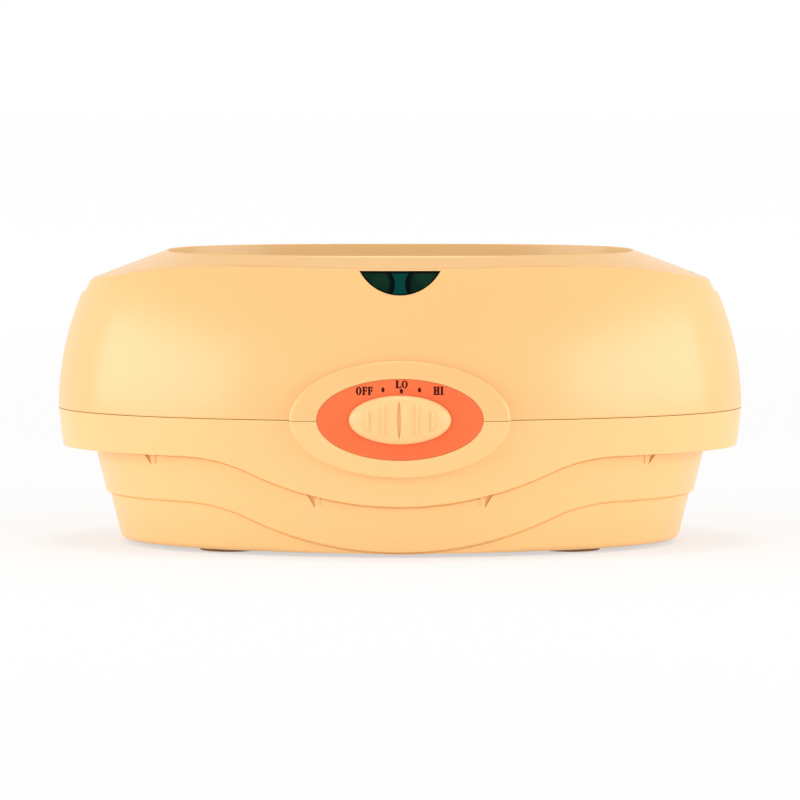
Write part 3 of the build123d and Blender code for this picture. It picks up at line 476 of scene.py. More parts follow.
def lowerShell():
    # one closed skin: down the three tiers, across the bottom to its middle, and back up inside
    turn = turns(body["columns"])
    high = body["seam"] - body["seamGap"] / 2
    upperLow = base["ledge"] - base["dip"]
    lowerLow = upperLow - base["spacing"]
    step, wall = base["lowerStep"], body["wall"]
    deep, tall = base["shadowDepth"], base["shadowHeight"]

    def ledge(rowAt, low, inset, radius):
        # a ledge's edge and the narrow recess under it, which shows as its dark line
        recess = [(onWave(coneRow, turn, low - down, inset + deep), base["recessEdge"])
                  for down in (0.0, tall)]
        root = onWave(coneRow, turn, low - tall * base["shadowFade"], inset)
        return [(onWave(rowAt, turn, low, 0.0), radius)] + recess + [(root, base["rootEdge"])]

    upper = ledge(upperTierRow, upperLow, 0.0, base["ledgeEdge"])
    lower = ledge(coneRow, lowerLow, step, base["lowerEdge"])
    first = upperTierRow(turn, high, 0.0)
    foot = coneRow(turn, base["bottom"], step)
    middle = np.array([[0.0, 0.0, base["bottom"]]])
    outer = [(first, 0)] + straight(first, upper[0][0], np.linspace(0.06, 0.92, 9)) + upper
    outer += straight(upper[-1][0], lower[0][0], np.linspace(0.1, 0.9, 6)) + lower
    outer += straight(lower[-1][0], foot, (0.5,)) + [(foot, base["bottomEdge"])]
    outer += straight(foot, middle, (0.12, 0.3, 0.55, 0.8, 0.98))
    up = np.array([0.0, 0.0, wall])
    innerFoot = coneRow(turn, base["bottom"] + wall, step + wall)
    inner = straight(innerFoot, middle + up, (0.98, 0.7, 0.35)) + [
        (innerFoot, 0), (onWave(coneRow, turn, upperLow, step + wall) + up, 0),
        (onWave(upperTierRow, turn, upperLow, wall) + up, 0), (upperTierRow(turn, high, wall), 0)]
    # the rows go round from the inside's middle over the seam to the outside's middle
    rows = rounded(outer + inner, False)
    split = len(rounded(outer, False))
    shell = cappedShape("lowerShell", rows[split:] + rows[:split])
    return carve(shell, [bezelBlock("bezelBottom", False), inletPad()] + atNotches(ledgeFin),
                 controlCutters() + lowerCutters() + atNotches(ledgeNotch))


inlet = {"height": 50.0, "pad": (29.0, 14.0), "padFace": 119.6, "padEdge": 1.2, "padCorner": 4.0,
         "padFoot": 96.0, "softEdge": 0.35, "hole": (13.7, 10.0), "holeFrom": 90.0, "holeTo": 130.0}


def inletPad():
    # flat pad for the power inlet, with rounded corners and a rounded edge
    edge, soft, face = inlet["padEdge"], inlet["softEdge"], inlet["padFace"]
    rows = []
    for grow, y in ((0.0, inlet["padFoot"]), (0.0, face - edge), (-soft, face - soft), (-edge, face)):
        outline = roundedOutline(grown(inlet["pad"], grow), inlet["padCorner"] + grow, 12)
        rows.append(upright(outline + (0.0, inlet["height"]), y))
    return cappedShape("inletPad", rows)


def roundedOutline(half, corner, count):
    # rectangle whose corners are quarter circles
    turn = np.linspace(0, pi / 2, count)
    points = []
    for quarter, (sx, sz) in enumerate(((1, 1), (-1, 1), (-1, -1), (1, -1))):
        angle = turn + quarter * pi / 2
        points.append(np.stack([sx * (half[0] - corner) + corner * np.cos(angle),
                                sz * (half[1] - corner) + corner * np.sin(angle)], axis=1))
    return np.vstack(points)


def fourPlaces(half):
    return [(sideX * half[0], sideY * half[1]) for sideX in (-1, 1) for sideY in (-1, 1)]


def lowerCutters():
    # hole for the power inlet and holes for the housing screws
    x, z, middle = *inlet["hole"], inlet["height"]
    hole = box("inletCut", (-x, inlet["holeFrom"], middle - z), (x, inlet["holeTo"], middle + z))
    return [hole] + [discBlock("screwCut", *place, 0.0, base["screwDepth"], base["screwRadius"], 48)
                     for place in fourPlaces(base["screws"])]


def atNotches(make):
    # one piece at each of the four small notches under the upper wave
    return [make(place, side) for place in base["notchPlaces"] for side in (1, -1)]


def ledgeBlock(place, side, span, corners, inner):
    # block against the middle tier: its outline runs along the chord between the wall's points at the two
    # ends, and is carried along the normal of that chord. A corner is a share of the chord, a depth below
    # the ledge's edge and how far it stands out from the leaning wall.
    edge = float(waveHeight(np.array([place]), base["ledge"] - base["dip"])[0])
    halfWidth, halfDepth = coneHalf(edge, 0.0)
    ends = place + np.array(span)
    depth = halfDepth * (1 - (ends / halfWidth) ** body["power"]) ** (1 / body["power"])
    start = np.array([side * ends[0], -depth[0]])
    along = np.array([side * ends[1], -depth[1]]) - start
    normal = np.array([along[1], -along[0]]) * side / np.linalg.norm(along)
    lean = base["middleDraft"][1]
    outside = [(*(start + along * share + normal * (out - lean * low)), edge - low)
               for share, low, out in corners]
    inside = [(*(start + along * share - normal * inner), edge - low) for share, low, out in corners]
    return meshObject("ledgeBlock", np.array([outside, inside]), prismFaces(len(corners)))


def ledgeNotch(place, side):
    # three-cornered pocket that opens under the ledge
    high, low, out = -base["notchRise"], base["notchHeight"], base["notchOut"]
    corners = [(0.0, high, out), (1.0, high, out), (0.0, low, out)]
    return ledgeBlock(place, side, (0.0, base["notchWidth"]), corners, base["notchDepth"])


def ledgeFin(place, side):
    # thin upright fin beside the pocket
    high, low, out = -base["notchRise"], base["finHeight"], base["finRise"]
    corners = [(0.0, high, out), (1.0, high, out), (1.0, low, out), (0.0, low, out)]
    return ledgeBlock(place, side, base["fin"], corners, base["notchDepth"])


def discRow(x, y, z, radius, count):
    return level(ellipse(x, y, (radius, radius), count), z)


def discBlock(name, x, y, low, high, radius, count):
    return cappedShape(name, [discRow(x, y, z, radius, count) for z in (low, high)])


def labelPlate():
    # elliptical plate with a rounded edge and the slot of the knob through it. Its rings are given by how far
    # they lie inside the outline and behind the face, and the last two only keep the flat face even
    edge = control["plateEdge"]
    places = ((0.0, control["plateThickness"]), (0.0, edge), (0.3 * edge, 0.3 * edge), (edge, 0.0),
              (0.8, 0.0), (8.0, 0.0))
    rows = [upright(controlOval(grown(control["plate"], -inset), 240), frontFace + y) for inset, y in places]
    slot = controlBox("plateSlot", control["slot"], frontFace - clear, frontFace + clear)
    return carve(cappedShape("labelPlate", rows), [], [slot])


def softStep(value, edge, width):
    # 1 below the edge and 0 above it, with a smooth ramp of the given width
    t = np.clip((edge - value) / width + 0.5, 0.0, 1.0)
    return t * t * (3 - 2 * t)


knob = {
    "half": (26.8, 12.9), "gap": 0.4, "rise": 6.4, "power": 2.3, "smooth": 40.0,
    "ribs": ((8.8, 8.0), (17.0, 5.2)), "ribRise": 1.0, "ribHalf": 0.75, "ribRamp": 0.35, "ribEndRamp": 1.6,
    "ribsFade": 0.96, "ribsFadeRamp": 0.06, "grooveHalf": 1.4, "grooveLength": 21.0, "grooveDepth": 1.6,
    "grooveMiddle": -0.5, "grooveSteepness": 1.6, "grooveFull": 0.8,
    "ridgeMiddle": 2.1, "ridgeHalf": 1.7, "ridgeRise": 0.6,
    "stem": (2.0, 2.3), "stemGap": 0.3, "stemHold": 2.0,
    "flatHalf": 24.0, "middleHalf": 3.9, "edgeHalf": 0.55, "leastStep": 0.04,
}


def knobColumns():
    # places across the knob, closer together in its middle, at the edges of its ribs and at its ends
    near = np.linspace(-knob["edgeHalf"], knob["edgeHalf"], 12)
    flat, middle, end = knob["flatHalf"], knob["middleHalf"], knob["half"][0]
    ends = flat + (end - flat) * np.sin(np.linspace(0, pi / 2, 26))
    across = [np.linspace(-flat, flat, 80), np.linspace(-middle, middle, 66), near, ends, -ends]
    for place, _ in knob["ribs"]:
        for edge in (place - knob["ribHalf"], place + knob["ribHalf"]):
            across += [near + edge, near - edge]
    x = np.unique(np.round(np.concatenate(across), 3))
    x = x[np.concatenate([[True], np.diff(x) > knob["leastStep"]])]
    x[0], x[-1] = -end, end
    return x


def slideKnob():
    # height of the face: a dome, rise times (1 - r^power)^(1/power) of the distance r from the middle of the
    # ellipse, plus the ribs and a soft ridge, less the groove beside it
    halfWidth, halfHeight, power = *knob["half"], knob["power"]
    x, share = np.meshgrid(knobColumns(), np.sin(np.linspace(-pi / 2, pi / 2, 120)))
    z = halfHeight * np.sqrt(np.maximum(1 - (x / halfWidth) ** 2, 0)) * share
    r = np.sqrt(np.clip((x / halfWidth) ** 2 + (z / halfHeight) ** 2, 0, 1))
    dome = knob["rise"] * np.maximum(1 - r ** power, 0) ** (1 / power)
    for place, reach in knob["ribs"]:
        rib = softStep(np.abs(np.abs(x) - place), knob["ribHalf"], knob["ribRamp"])
        rib = rib * softStep(np.abs(z), reach, knob["ribEndRamp"])
        dome = dome + knob["ribRise"] * rib * softStep(r, knob["ribsFade"], knob["ribsFadeRamp"])
    half = knob["grooveHalf"]
    radius = (knob["grooveLength"] ** 2 / 4 + half ** 2) / (2 * half)
    width = np.sqrt(np.maximum(radius ** 2 - z ** 2, 0)) - (radius - half)
    width = np.where(np.abs(z) < knob["grooveLength"] / 2, np.maximum(width, 0), 0)
    inside = np.clip(1 - np.abs(x - knob["grooveMiddle"]) / np.maximum(width, 1e-3), 0, 1)
    groove = np.minimum(inside * knob["grooveSteepness"], 1) * np.clip(width / knob["grooveFull"], 0, 1)
    taper = width / half
    ridge = np.clip(1 - np.abs(x - knob["ridgeMiddle"]) / np.maximum(knob["ridgeHalf"] * taper, 1e-3), 0, 1)
    dome = dome - knob["grooveDepth"] * groove + knob["ridgeRise"] * ridge * ridge * (3 - 2 * ridge) * taper
    back = frontFace - knob["gap"]
    front = np.stack([x, back - dome, z + control["height"]], axis=-1)
    rear = np.stack([x, np.full_like(x, back), z + control["height"]], axis=-1)[::-1]
    points = np.concatenate([front, rear[1:-1]])
    piece = meshObject("slideKnob", points, gridFaces(len(points), x.shape[1], True, False), merge=0.02)
    with editing(piece.data) as work:
        bmesh.ops.dissolve_degenerate(work, edges=work.edges, dist=1e-6)
    stem = controlBox("knobStem", knob["stem"], back - knob["stemHold"],
                      frontFace + body["wall"] - knob["stemGap"])
    return carve(piece, [stem], [], knob["smooth"])


# a word: its letters, place across and up from the middle of the controls, stretch across and size
marks = {
    "words": (("OFF", -18.7, 15.2, 1.0, 1.0), ("LO", 0.85, 18.6, 1.17, 0.93), ("HI", 20.1, 15.25, 1.0, 1.0)),
    "height": 4.4, "gap": 0.07, "rise": 0.06, "sink": 0.05, "stem": 0.25, "thin": 0.12, "foot": 0.06,
    "widths": {"O": 0.68, "F": 0.58, "L": 0.6, "H": 0.76}, "serifInset": 0.005, "serifL": 0.32, "serifF": 0.7,
    "bar": 0.46, "barEnd": 0.42, "barSerif": (0.36, 0.65),
    "ovalHalf": 0.51, "ovalThick": 0.245, "ovalThin": 0.105,
    "dots": ((-8.9, 15.75), (0.75, 15.05), (10.2, 15.7)), "dot": (0.82, 1.3),
}
inkFront, inkBack = frontFace - marks["rise"], frontFace + marks["sink"]


def letterParts(letter):
    # strokes of a letter with slab ends, as (x0, z0, x1, z1) in shares of its height, and its width
    stem, thin, foot, bar, barEnd = (marks[key] for key in ("stem", "thin", "foot", "bar", "barEnd"))
    slab = 2 * foot + stem
    width = marks["widths"].get(letter, slab)
    serif = width - marks["serifInset"]

    def post(left, footWidth=slab, headWidth=slab):
        return [(left + foot, thin, left + foot + stem, 1 - thin), (left, 0, left + footWidth, thin),
                (left, 1 - thin, left + headWidth, 1)]

    low, high = marks["barSerif"]
    return {
        "I": post(0),
        "L": post(0, footWidth=width) + [(serif - thin, thin, serif, marks["serifL"])],
        "F": post(0, headWidth=width) + [
            (serif - thin, marks["serifF"], serif, 1 - thin), (foot + stem, bar, barEnd, bar + thin),
            (barEnd, low, barEnd + thin, high)],
        "H": post(0) + post(width - slab) + [(foot + stem, bar, width - foot - stem, bar + thin)],
        "O": [],
    }[letter], width


def ovalLetter(x, z, width, height):
    # round letter: a ring that is thick at its sides and thin at top and bottom
    outer = width / 2, marks["ovalHalf"] * height
    inner = outer[0] - marks["ovalThick"] * height, outer[1] - marks["ovalThin"] * height
    rows = [upright(ellipse(x + width / 2, z + height / 2, half, 40), y)
            for half, y in ((outer, inkFront), (inner, inkFront), (inner, inkBack), (outer, inkBack))]
    return closedShape("letterO", rows, 30.0)


def writeWord(word, middleX, middleZ, stretch, size):
    # the word's letters side by side, centred on its place
    height = marks["height"] * size
    across = height * stretch
    widths = [letterParts(letter)[1] for letter in word]
    x = middleX - across * (sum(widths) + marks["gap"] * (len(word) - 1)) / 2
    z = control["height"] + middleZ - height / 2
    pieces = []
    for letter, width in zip(word, widths):
        if letter == "O":
            pieces.append(ovalLetter(x, z, width * across, height))
        for x0, z0, x1, z1 in letterParts(letter)[0]:
            pieces.append(box("stroke", (x + x0 * across, inkFront, z + z0 * height),
                              (x + x1 * across, inkBack, z + z1 * height)))
        x += (width + marks["gap"]) * across
    return pieces


def scaleMarks():
    # OFF, LO and HI with three dots between them, printed on the plate
    pieces = [piece for word in marks["words"] for piece in writeWord(*word)]
    for x, z in marks["dots"]:
        pieces.append(prism("dot", ellipse(x, control["height"] + z, marks["dot"], 24), inkFront, inkBack))
    return joined("scaleMarks", pieces, 30.0)


def windowLens():
    # half moon that follows the wall a little under its surface and is crowned in the middle
    columns, rows = 81, 22
    half, high, arc = halfMoon(window["clearance"])
    x = half * np.sin(np.linspace(-pi / 2, pi / 2, columns))
    gridX, v = np.meshgrid(x, (1 - np.cos(np.linspace(0, pi, rows))) / 2)
    z = high + (arc(x) - high) * v

    def skin(inset, crown):
        halfWidth, halfDepth = wallHalf(z, inset)
        y = -halfDepth * (1 - (np.abs(gridX) / halfWidth) ** body["power"]) ** (1 / body["power"])
        edge = np.minimum(1, 4 * v * (1 - v)) * np.maximum(0, 1 - (gridX / half) ** 2)
        return np.stack([gridX, y - crown * np.sqrt(edge), z], axis=-1)

    front = skin(window["recess"], window["crown"])
    back = skin(window["recess"] + window["thickness"], 0.0)[::-1]
    faces = gridFaces(2 * rows, columns, True, False)
    return meshObject("windowLens", np.concatenate([front, back]), faces, 40.0, 0.01)


tankSizes = {
    "bottom": 45.0, "half": (106.0, 62.0), "corner": 9.0, "wall": 1.5, "power": 2.6,
    "flangeTop": 140.0, "flange": 5.5, "flangeBend": 1.2, "flangeEdge": 0.3, "mouthEdge": 2.2,
}


def waxTank():
    # closed skin of the drawn tank: outside up to the flange, over its edge and down the inside to the floor
    turn = turns(360)
    bottom, wall, high = tankSizes["bottom"], tankSizes["wall"], tankSizes["flangeTop"]
    power = tankSizes["power"]

    def cone(height, grow):
        share = (height - bottom) / (high - bottom)
        half = [near + (far - near) * share + grow for near, far in zip(tankSizes["half"], top["mouth"])]
        return ovalRow(turn, half, height, power)

    foot, rim = cone(bottom, 0.0), cone(high - wall, 0.0)
    flange = ovalRow(turn, grown(top["mouth"], tankSizes["flange"]), high - wall, power)
    floor, mouth = cone(bottom + wall, -wall), cone(high, -wall)
    middle = np.array([[0.0, 0.0, bottom]])
    stations = straight(middle, foot, (0.02, 0.35, 0.7)) + [(foot, tankSizes["corner"])]
    stations += straight(foot, rim, (0.3, 0.6)) + [(rim, tankSizes["flangeBend"])]
    stations += [(flange, tankSizes["flangeEdge"]), (flange + (0, 0, wall), tankSizes["flangeEdge"])]
    stations += [(mouth, tankSizes["mouthEdge"])] + straight(mouth, floor, (0.3, 0.6))
    stations.append((floor, tankSizes["corner"] - wall))
    stations += straight(floor, middle + (0, 0, wall), (0.3, 0.65, 0.98))
    return cappedShape("waxTank", rounded(stations, False, 7))


grille = {
    "half": (102.0, 58.0), "height": 8.0, "thickness": 3.0, "edge": 0.8, "pitch": 12.0, "slots": 13,
    "border": 9.0, "bar": 5.0, "slotHalfWidth": 3.5, "slotCorner": 2.2, "slotBevel": 0.4,
    "slotUnder": 0.3, "legs": (66.0, 36.9), "legRadius": 4.0, "legSink": 0.6,
}


def slotCutter(x, near, far, low, high):
    # block with round corners, wider at the top so that the slot's edge is bevelled
    middle, half, bevel = (near + far) / 2, abs(far - near) / 2, grille["slotBevel"]
    rows = []
    for grow, z in ((0.0, low - grille["slotUnder"]), (0.0, high - bevel), (2 * bevel, high + bevel)):
        outline = roundedOutline(grown((grille["slotHalfWidth"], half), grow), grille["slotCorner"] + grow, 6)
        rows.append(level(outline + (x, middle), z))
    return cappedShape("grilleSlot", rows)


def liftGrille():
    # oval plate on four legs, with two rows of slots and a bar between the rows
    turn = turns(300)
    floor = tankSizes["bottom"] + tankSizes["wall"]
    low = floor + grille["height"]
    high = low + grille["thickness"]
    power, edge = tankSizes["power"], grille["edge"]
    stations = [(ovalRow(turn, [size * share for size in grille["half"]], z, power), radius)
                for share, z, radius in ((0.02, low, 0), (0.7, low, 0), (1.0, low, edge),
                                         (1.0, high, edge), (0.7, high, 0), (0.02, high, 0))]
    plate = cappedShape("tankGrille", rounded(stations, False, 6))
    legs = [discBlock("grilleLeg", *place, floor, low + grille["legSink"], grille["legRadius"], 40)
            for place in fourPlaces(grille["legs"])]
    halfWidth, halfDepth = grille["half"]
    cutters = []
    for number in range(grille["slots"]):
        x = (number - (grille["slots"] - 1) / 2) * grille["pitch"]
        share = (abs(x) + grille["slotHalfWidth"]) / halfWidth
        far = halfDepth * (1 - share ** power) ** (1 / power) - grille["border"]
        for side in (1, -1):
            cutters.append(slotCutter(x, side * grille["bar"] / 2, side * far, low, high))
    return carve(plate, legs, [joined("grilleSlots", cutters)])


feet = {"places": (91.0, 54.0), "radius": 16.0, "height": 3.2, "edge": 0.8, "middle": 0.4}


def footPads():
    # four round feet with a rounded edge
    radius, height, middle = feet["radius"], feet["height"], feet["middle"]
    rings = ((middle, 0.0, 0), (radius / 2, 0.0, 0), (radius, 0.0, feet["edge"]),
             (radius, height, 0), (radius / 2, height, 0), (middle, height, 0))
    pieces = []
    for x, y in fourPlaces(feet["places"]):
        stations = [(discRow(x, y, z, reach, 96), edge) for reach, z, edge in rings]
        pieces.append(cappedShape("foot", rounded(stations, False)))
    return joined("footPads", pieces)


def tint(red, green, blue):
    # a colour as it looks on a screen, turned into the linear one that shaders take
    share = np.array([red, green, blue]) / 255.0
    linear = np.where(share <= 0.04045, share / 12.92, ((share + 0.055) / 1.055) ** 2.4)
    return (*linear.tolist(), 1.0)


def grey(value):
    return (value, value, value, 1.0)


class Tree:
    # short calls for the nodes of one material or group
    def __init__(self, owner):
        self.nodes = owner.nodes
        self.links = owner.links

    def add(self, kind, **inputs):
        node = self.nodes.new("ShaderNode" + kind)
        self.fill(node, inputs)
        return node

    def fill(self, node, inputs):
        for name, value in inputs.items():
            self.put(node.inputs[name.replace("_", " ")], value)

    def put(self, socket, value):
        if isinstance(value, bpy.types.NodeSocket):
            self.links.new(value, socket)
        else:
            socket.default_value = value

    def math(self, operation, first, second=0.0, clamp=False):
        node = self.nodes.new("ShaderNodeMath")
        node.operation = operation
        node.use_clamp = clamp
        self.put(node.inputs[0], first)
        self.put(node.inputs[1], second)
        return node.outputs[0]

    def plus(self, first, second, clamp=False):
        return self.math("ADD", first, second, clamp)

    def minus(self, first, second, clamp=False):
        return self.math("SUBTRACT", first, second, clamp)

    def times(self, first, second):
        return self.math("MULTIPLY", first, second)

    def blend(self, first, second, shares):
        # two values added up by their shares
        return self.plus(self.times(first, shares[0]), self.times(second, shares[1]))

    def mix(self, factor, first, second):
        node = self.nodes.new("ShaderNodeMix")
        node.data_type = "RGBA"
        for number, value in ((0, factor), (6, first), (7, second)):
            self.put(node.inputs[number], value)
        return node.outputs[2]

    def span(self, value, low, high, newLow=0.0, newHigh=1.0):
        # smooth ramp from one value to another between two places
        node = self.nodes.new("ShaderNodeMapRange")
        node.interpolation_type = "SMOOTHSTEP"
        for number, item in enumerate((value, low, high, newLow, newHigh)):
            self.put(node.inputs[number], item)
        return node.outputs[0]

    def noise(self, vector, scale, detail=2.0):
        return self.add("TexNoise", Vector=vector, Scale=scale, Detail=detail).outputs["Fac"]

    def place(self, scale=(1, 1, 1)):
        # the object's own coordinates, stretched
        own = self.add("TexCoord").outputs["Object"]
        return self.add("Mapping", Vector=own, Scale=scale).outputs["Vector"]

    def axes(self, vector):
        return self.add("SeparateXYZ", Vector=vector).outputs


def newGroup(name, inputs, outputs):
    # a shared effect, with the kind of each of its inputs and outputs
    group = bpy.data.node_groups.new(name, "ShaderNodeTree")
    for side, sockets in (("INPUT", inputs), ("OUTPUT", outputs)):
        for label, kind in sockets.items():
            group.interface.new_socket(label, in_out=side, socket_type="NodeSocket" + kind)
    tree = Tree(group)
    return group, tree, tree.nodes.new("NodeGroupInput").outputs, tree.nodes.new("NodeGroupOutput").inputs


effects = {
    "toneFine": 14.0, "toneShares": (0.75, 0.25), "toneRange": (0.35, 0.65),
    "grainLarge": 0.22, "grainShares": (0.6, 0.4),
    "scuffStretch": (1.0, 9.0, 9.0), "scuffTurn": (0.0, 0.3, 0.6), "scuffRange": (0.62, 0.72),
    "patch": 0.3, "patchRange": (0.5, 0.65), "scuffScale": 60.0, "scuffRoughness": 0.1, "bumpStrength": 0.35,
}


def driftGroup():
    # broad uneven tone: the colour moves between two tints over several centimetres, with finer clouding
    group, tree, given, result = newGroup("uneven tone", {
        "Vector": "Vector", "Colour": "Color", "Other": "Color", "Scale": "Float", "Amount": "Float"},
        {"Colour": "Color"})
    broad = tree.noise(given["Vector"], given["Scale"])
    fine = tree.noise(given["Vector"], tree.times(given["Scale"], effects["toneFine"]), 3.0)
    both = tree.blend(broad, fine, effects["toneShares"])
    mask = tree.times(tree.span(both, *effects["toneRange"]), given["Amount"])
    tree.put(result["Colour"], tree.mix(mask, given["Colour"], given["Other"]))
    return group


def grainGroup():
    # moulded or cast grain: two sizes of fine bumps for the height, and a roughness that varies with them
    group, tree, given, result = newGroup("fine grain", {
        "Vector": "Vector", "Scale": "Float", "Roughness": "Float", "Spread": "Float"},
        {"Height": "Float", "Roughness": "Float"})
    small = tree.noise(given["Vector"], given["Scale"])
    large = tree.noise(given["Vector"], tree.times(given["Scale"], effects["grainLarge"]))
    swing = tree.times(tree.minus(large, 0.5), given["Spread"])
    tree.put(result["Height"], tree.blend(small, large, effects["grainShares"]))
    tree.put(result["Roughness"], tree.plus(given["Roughness"], swing, True))
    return group


def wearGroup():
    # sparse short scuffs: thin stretched noise kept only where a second noise is high
    group, tree, given, result = newGroup("light scuffs", {
        "Vector": "Vector", "Scale": "Float", "Amount": "Float"}, {"Mask": "Float"})
    streak = tree.add("Mapping", Vector=given["Vector"], Scale=effects["scuffStretch"],
                      Rotation=effects["scuffTurn"])
    thin = tree.noise(streak.outputs["Vector"], given["Scale"], 3.0)
    patch = tree.noise(given["Vector"], tree.times(given["Scale"], effects["patch"]), 1.0)
    mask = tree.times(tree.span(thin, *effects["scuffRange"]), tree.span(patch, *effects["patchRange"]))
    tree.put(result["Mask"], tree.times(mask, given["Amount"]))
    return group


groups = {"tone": driftGroup(), "grain": grainGroup(), "scuffs": wearGroup()}


def useGroup(tree, name, **inputs):
    node = tree.nodes.new("ShaderNodeGroup")
    node.node_tree = groups[name]
    tree.fill(node, inputs)
    return node.outputs


def newMaterial(name):
    material = bpy.data.materials.new(name)
    material.use_nodes = True
    tree = Tree(material.node_tree)
    return material, tree, tree.nodes["Principled BSDF"]


def cover(tree, shader, colour, roughness, height, strength, depth):
    # a pattern's colour and roughness, and its height as a bump that is so many millimetres deep
    relief = tree.add("Bump", Strength=strength, Distance=depth * metre, Height=height)
    tree.fill(shader, {"Base Color": colour, "Roughness": roughness, "Normal": relief.outputs[0]})


def finish(name, colour, other, roughness, grain, bump, scuffs=0.0, scuffColour=None, toneScale=12.0,
           toneAmount=0.6, stretch=(1, 1, 1), spread=0.08, **plain):
    # material with uneven tone, grain in its roughness and bump, and light scuffs
    material, tree, shader = newMaterial(name)
    material.diffuse_color = tint(*colour)
    vector = tree.place(stretch)
    tone = useGroup(tree, "tone", Vector=vector, Colour=tint(*colour), Other=tint(*other),
                    Scale=toneScale, Amount=toneAmount)["Colour"]
    surface = useGroup(tree, "grain", Vector=vector, Scale=grain, Roughness=roughness, Spread=spread)
    rough = surface["Roughness"]
    if scuffs:
        worn = useGroup(tree, "scuffs", Vector=tree.place(), Scale=effects["scuffScale"],
                        Amount=scuffs)["Mask"]
        tone = tree.mix(worn, tone, tint(*scuffColour))
        rough = tree.plus(rough, tree.times(worn, effects["scuffRoughness"]), True)
    cover(tree, shader, tone, rough, surface["Height"], effects["bumpStrength"], bump)
    tree.fill(shader, plain)
    return material


# each finish: its name, two tints, roughness, scale of the grain and depth of its bump, scuffs and their tint
looks = {
    "upper_plastic": finish("peach plastic", (248, 197, 127), (246, 192, 120), 0.30, 1500.0, 0.03,
                            0.1, (252, 204, 140), toneScale=9.0, toneAmount=0.5, Specular_IOR_Level=0.75),
    # the lower shell is the same peach plastic as the upper one, tinted lighter: painted light that makes up
    # for the lower tiers getting less lamp light
    "lower_plastic": finish("peach plastic painted lighter", (252, 204, 135), (250, 200, 128), 0.30, 1500.0, 0.03,
                            0.1, (253, 208, 145), toneScale=9.0, toneAmount=0.5, Specular_IOR_Level=0.75),
    "knob_plastic": finish("knob plastic", (251, 207, 142), (248, 201, 134), 0.32, 1400.0, 0.02,
                           0.1, (253, 213, 152), toneScale=25.0),
    "label_plastic": finish("orange plate", (252, 114, 54), (247, 103, 48), 0.45, 1800.0, 0.02,
                            0.08, (255, 150, 110), toneScale=20.0),
    "ink": finish("printed ink", (66, 2, 0), (80, 8, 4), 0.6, 2500.0, 0.01,
                  toneScale=200.0, Specular_IOR_Level=0.15),
    "foot_rubber": finish("tan rubber", (198, 142, 94), (184, 128, 82), 0.7, 900.0, 0.06,
                          0.3, (170, 122, 82)),
    "tank_metal": finish("drawn aluminium", (226, 226, 228), (214, 215, 218), 0.30, 900.0, 0.008,
                         0.1, (233, 233, 235), stretch=(1.0, 1.0, 0.08), spread=0.12, Metallic=1.0),
    "steel": finish("zinc plated steel", (176, 178, 182), (160, 160, 158), 0.32, 900.0, 0.02,
                    0.1, (205, 205, 205), spread=0.2, Metallic=1.0),
    "brass": finish("turned brass", (206, 168, 96), (188, 150, 84), 0.28, 900.0, 0.02,
                    0.15, (226, 196, 130), Metallic=1.0),
    "heater_foil": finish("heater foil", (190, 190, 194), (170, 170, 176), 0.38, 220.0, 0.12,
                          0.3, (214, 214, 216), spread=0.3, Metallic=1.0),
    "inner_plastic": finish("dark moulding", (38, 38, 40), (50, 50, 52), 0.48, 1100.0, 0.04,
                            0.2, (84, 84, 84)),
    "seal_rubber": finish("red silicone", (150, 60, 44), (134, 50, 38), 0.55, 800.0, 0.03),
    "felt": finish("needled felt", (216, 210, 196), (190, 184, 168), 0.95, 260.0, 0.5,
                   toneScale=80.0, spread=0.1),
    "ceramic": finish("glazed ceramic", (226, 220, 204), (214, 206, 188), 0.25, 600.0, 0.03,
                      0.1, (190, 180, 160)),
    "grille_plastic": finish("white heat-proof plastic", (236, 231, 218), (228, 221, 205), 0.45, 1200.0, 0.04,
                             0.15, (210, 200, 180)),
    "lead_cover": finish("silicone lead", (150, 148, 142), (136, 134, 128), 0.5, 900.0, 0.03),
    "lamp_glass": finish("lamp glass", (250, 190, 150), (246, 170, 128), 0.05, 300.0, 0.01,
                         spread=0.02, Transmission_Weight=0.9),
}
lensLook = {
    "lobes": ((6, 34, 22), (14, 50, 34)), "band": (2, 8, 7), "column": (0, 62, 56), "rim": (10, 9, 5),
    "plain": (8, 36, 26), "waist": 2.5, "waistAt": 0.45, "flare": 9.0, "columnEdge": 0.6,
    "bandFrom": 1.6, "bandTo": 4.4, "rimFrom": 0.9, "rimTo": 1.7, "arcRim": 1.6,
    "roughness": 0.12, "specular": 0.06, "cloud": 90.0, "grain": 500.0, "bump": 0.01, "bumpStrength": 0.2,
}


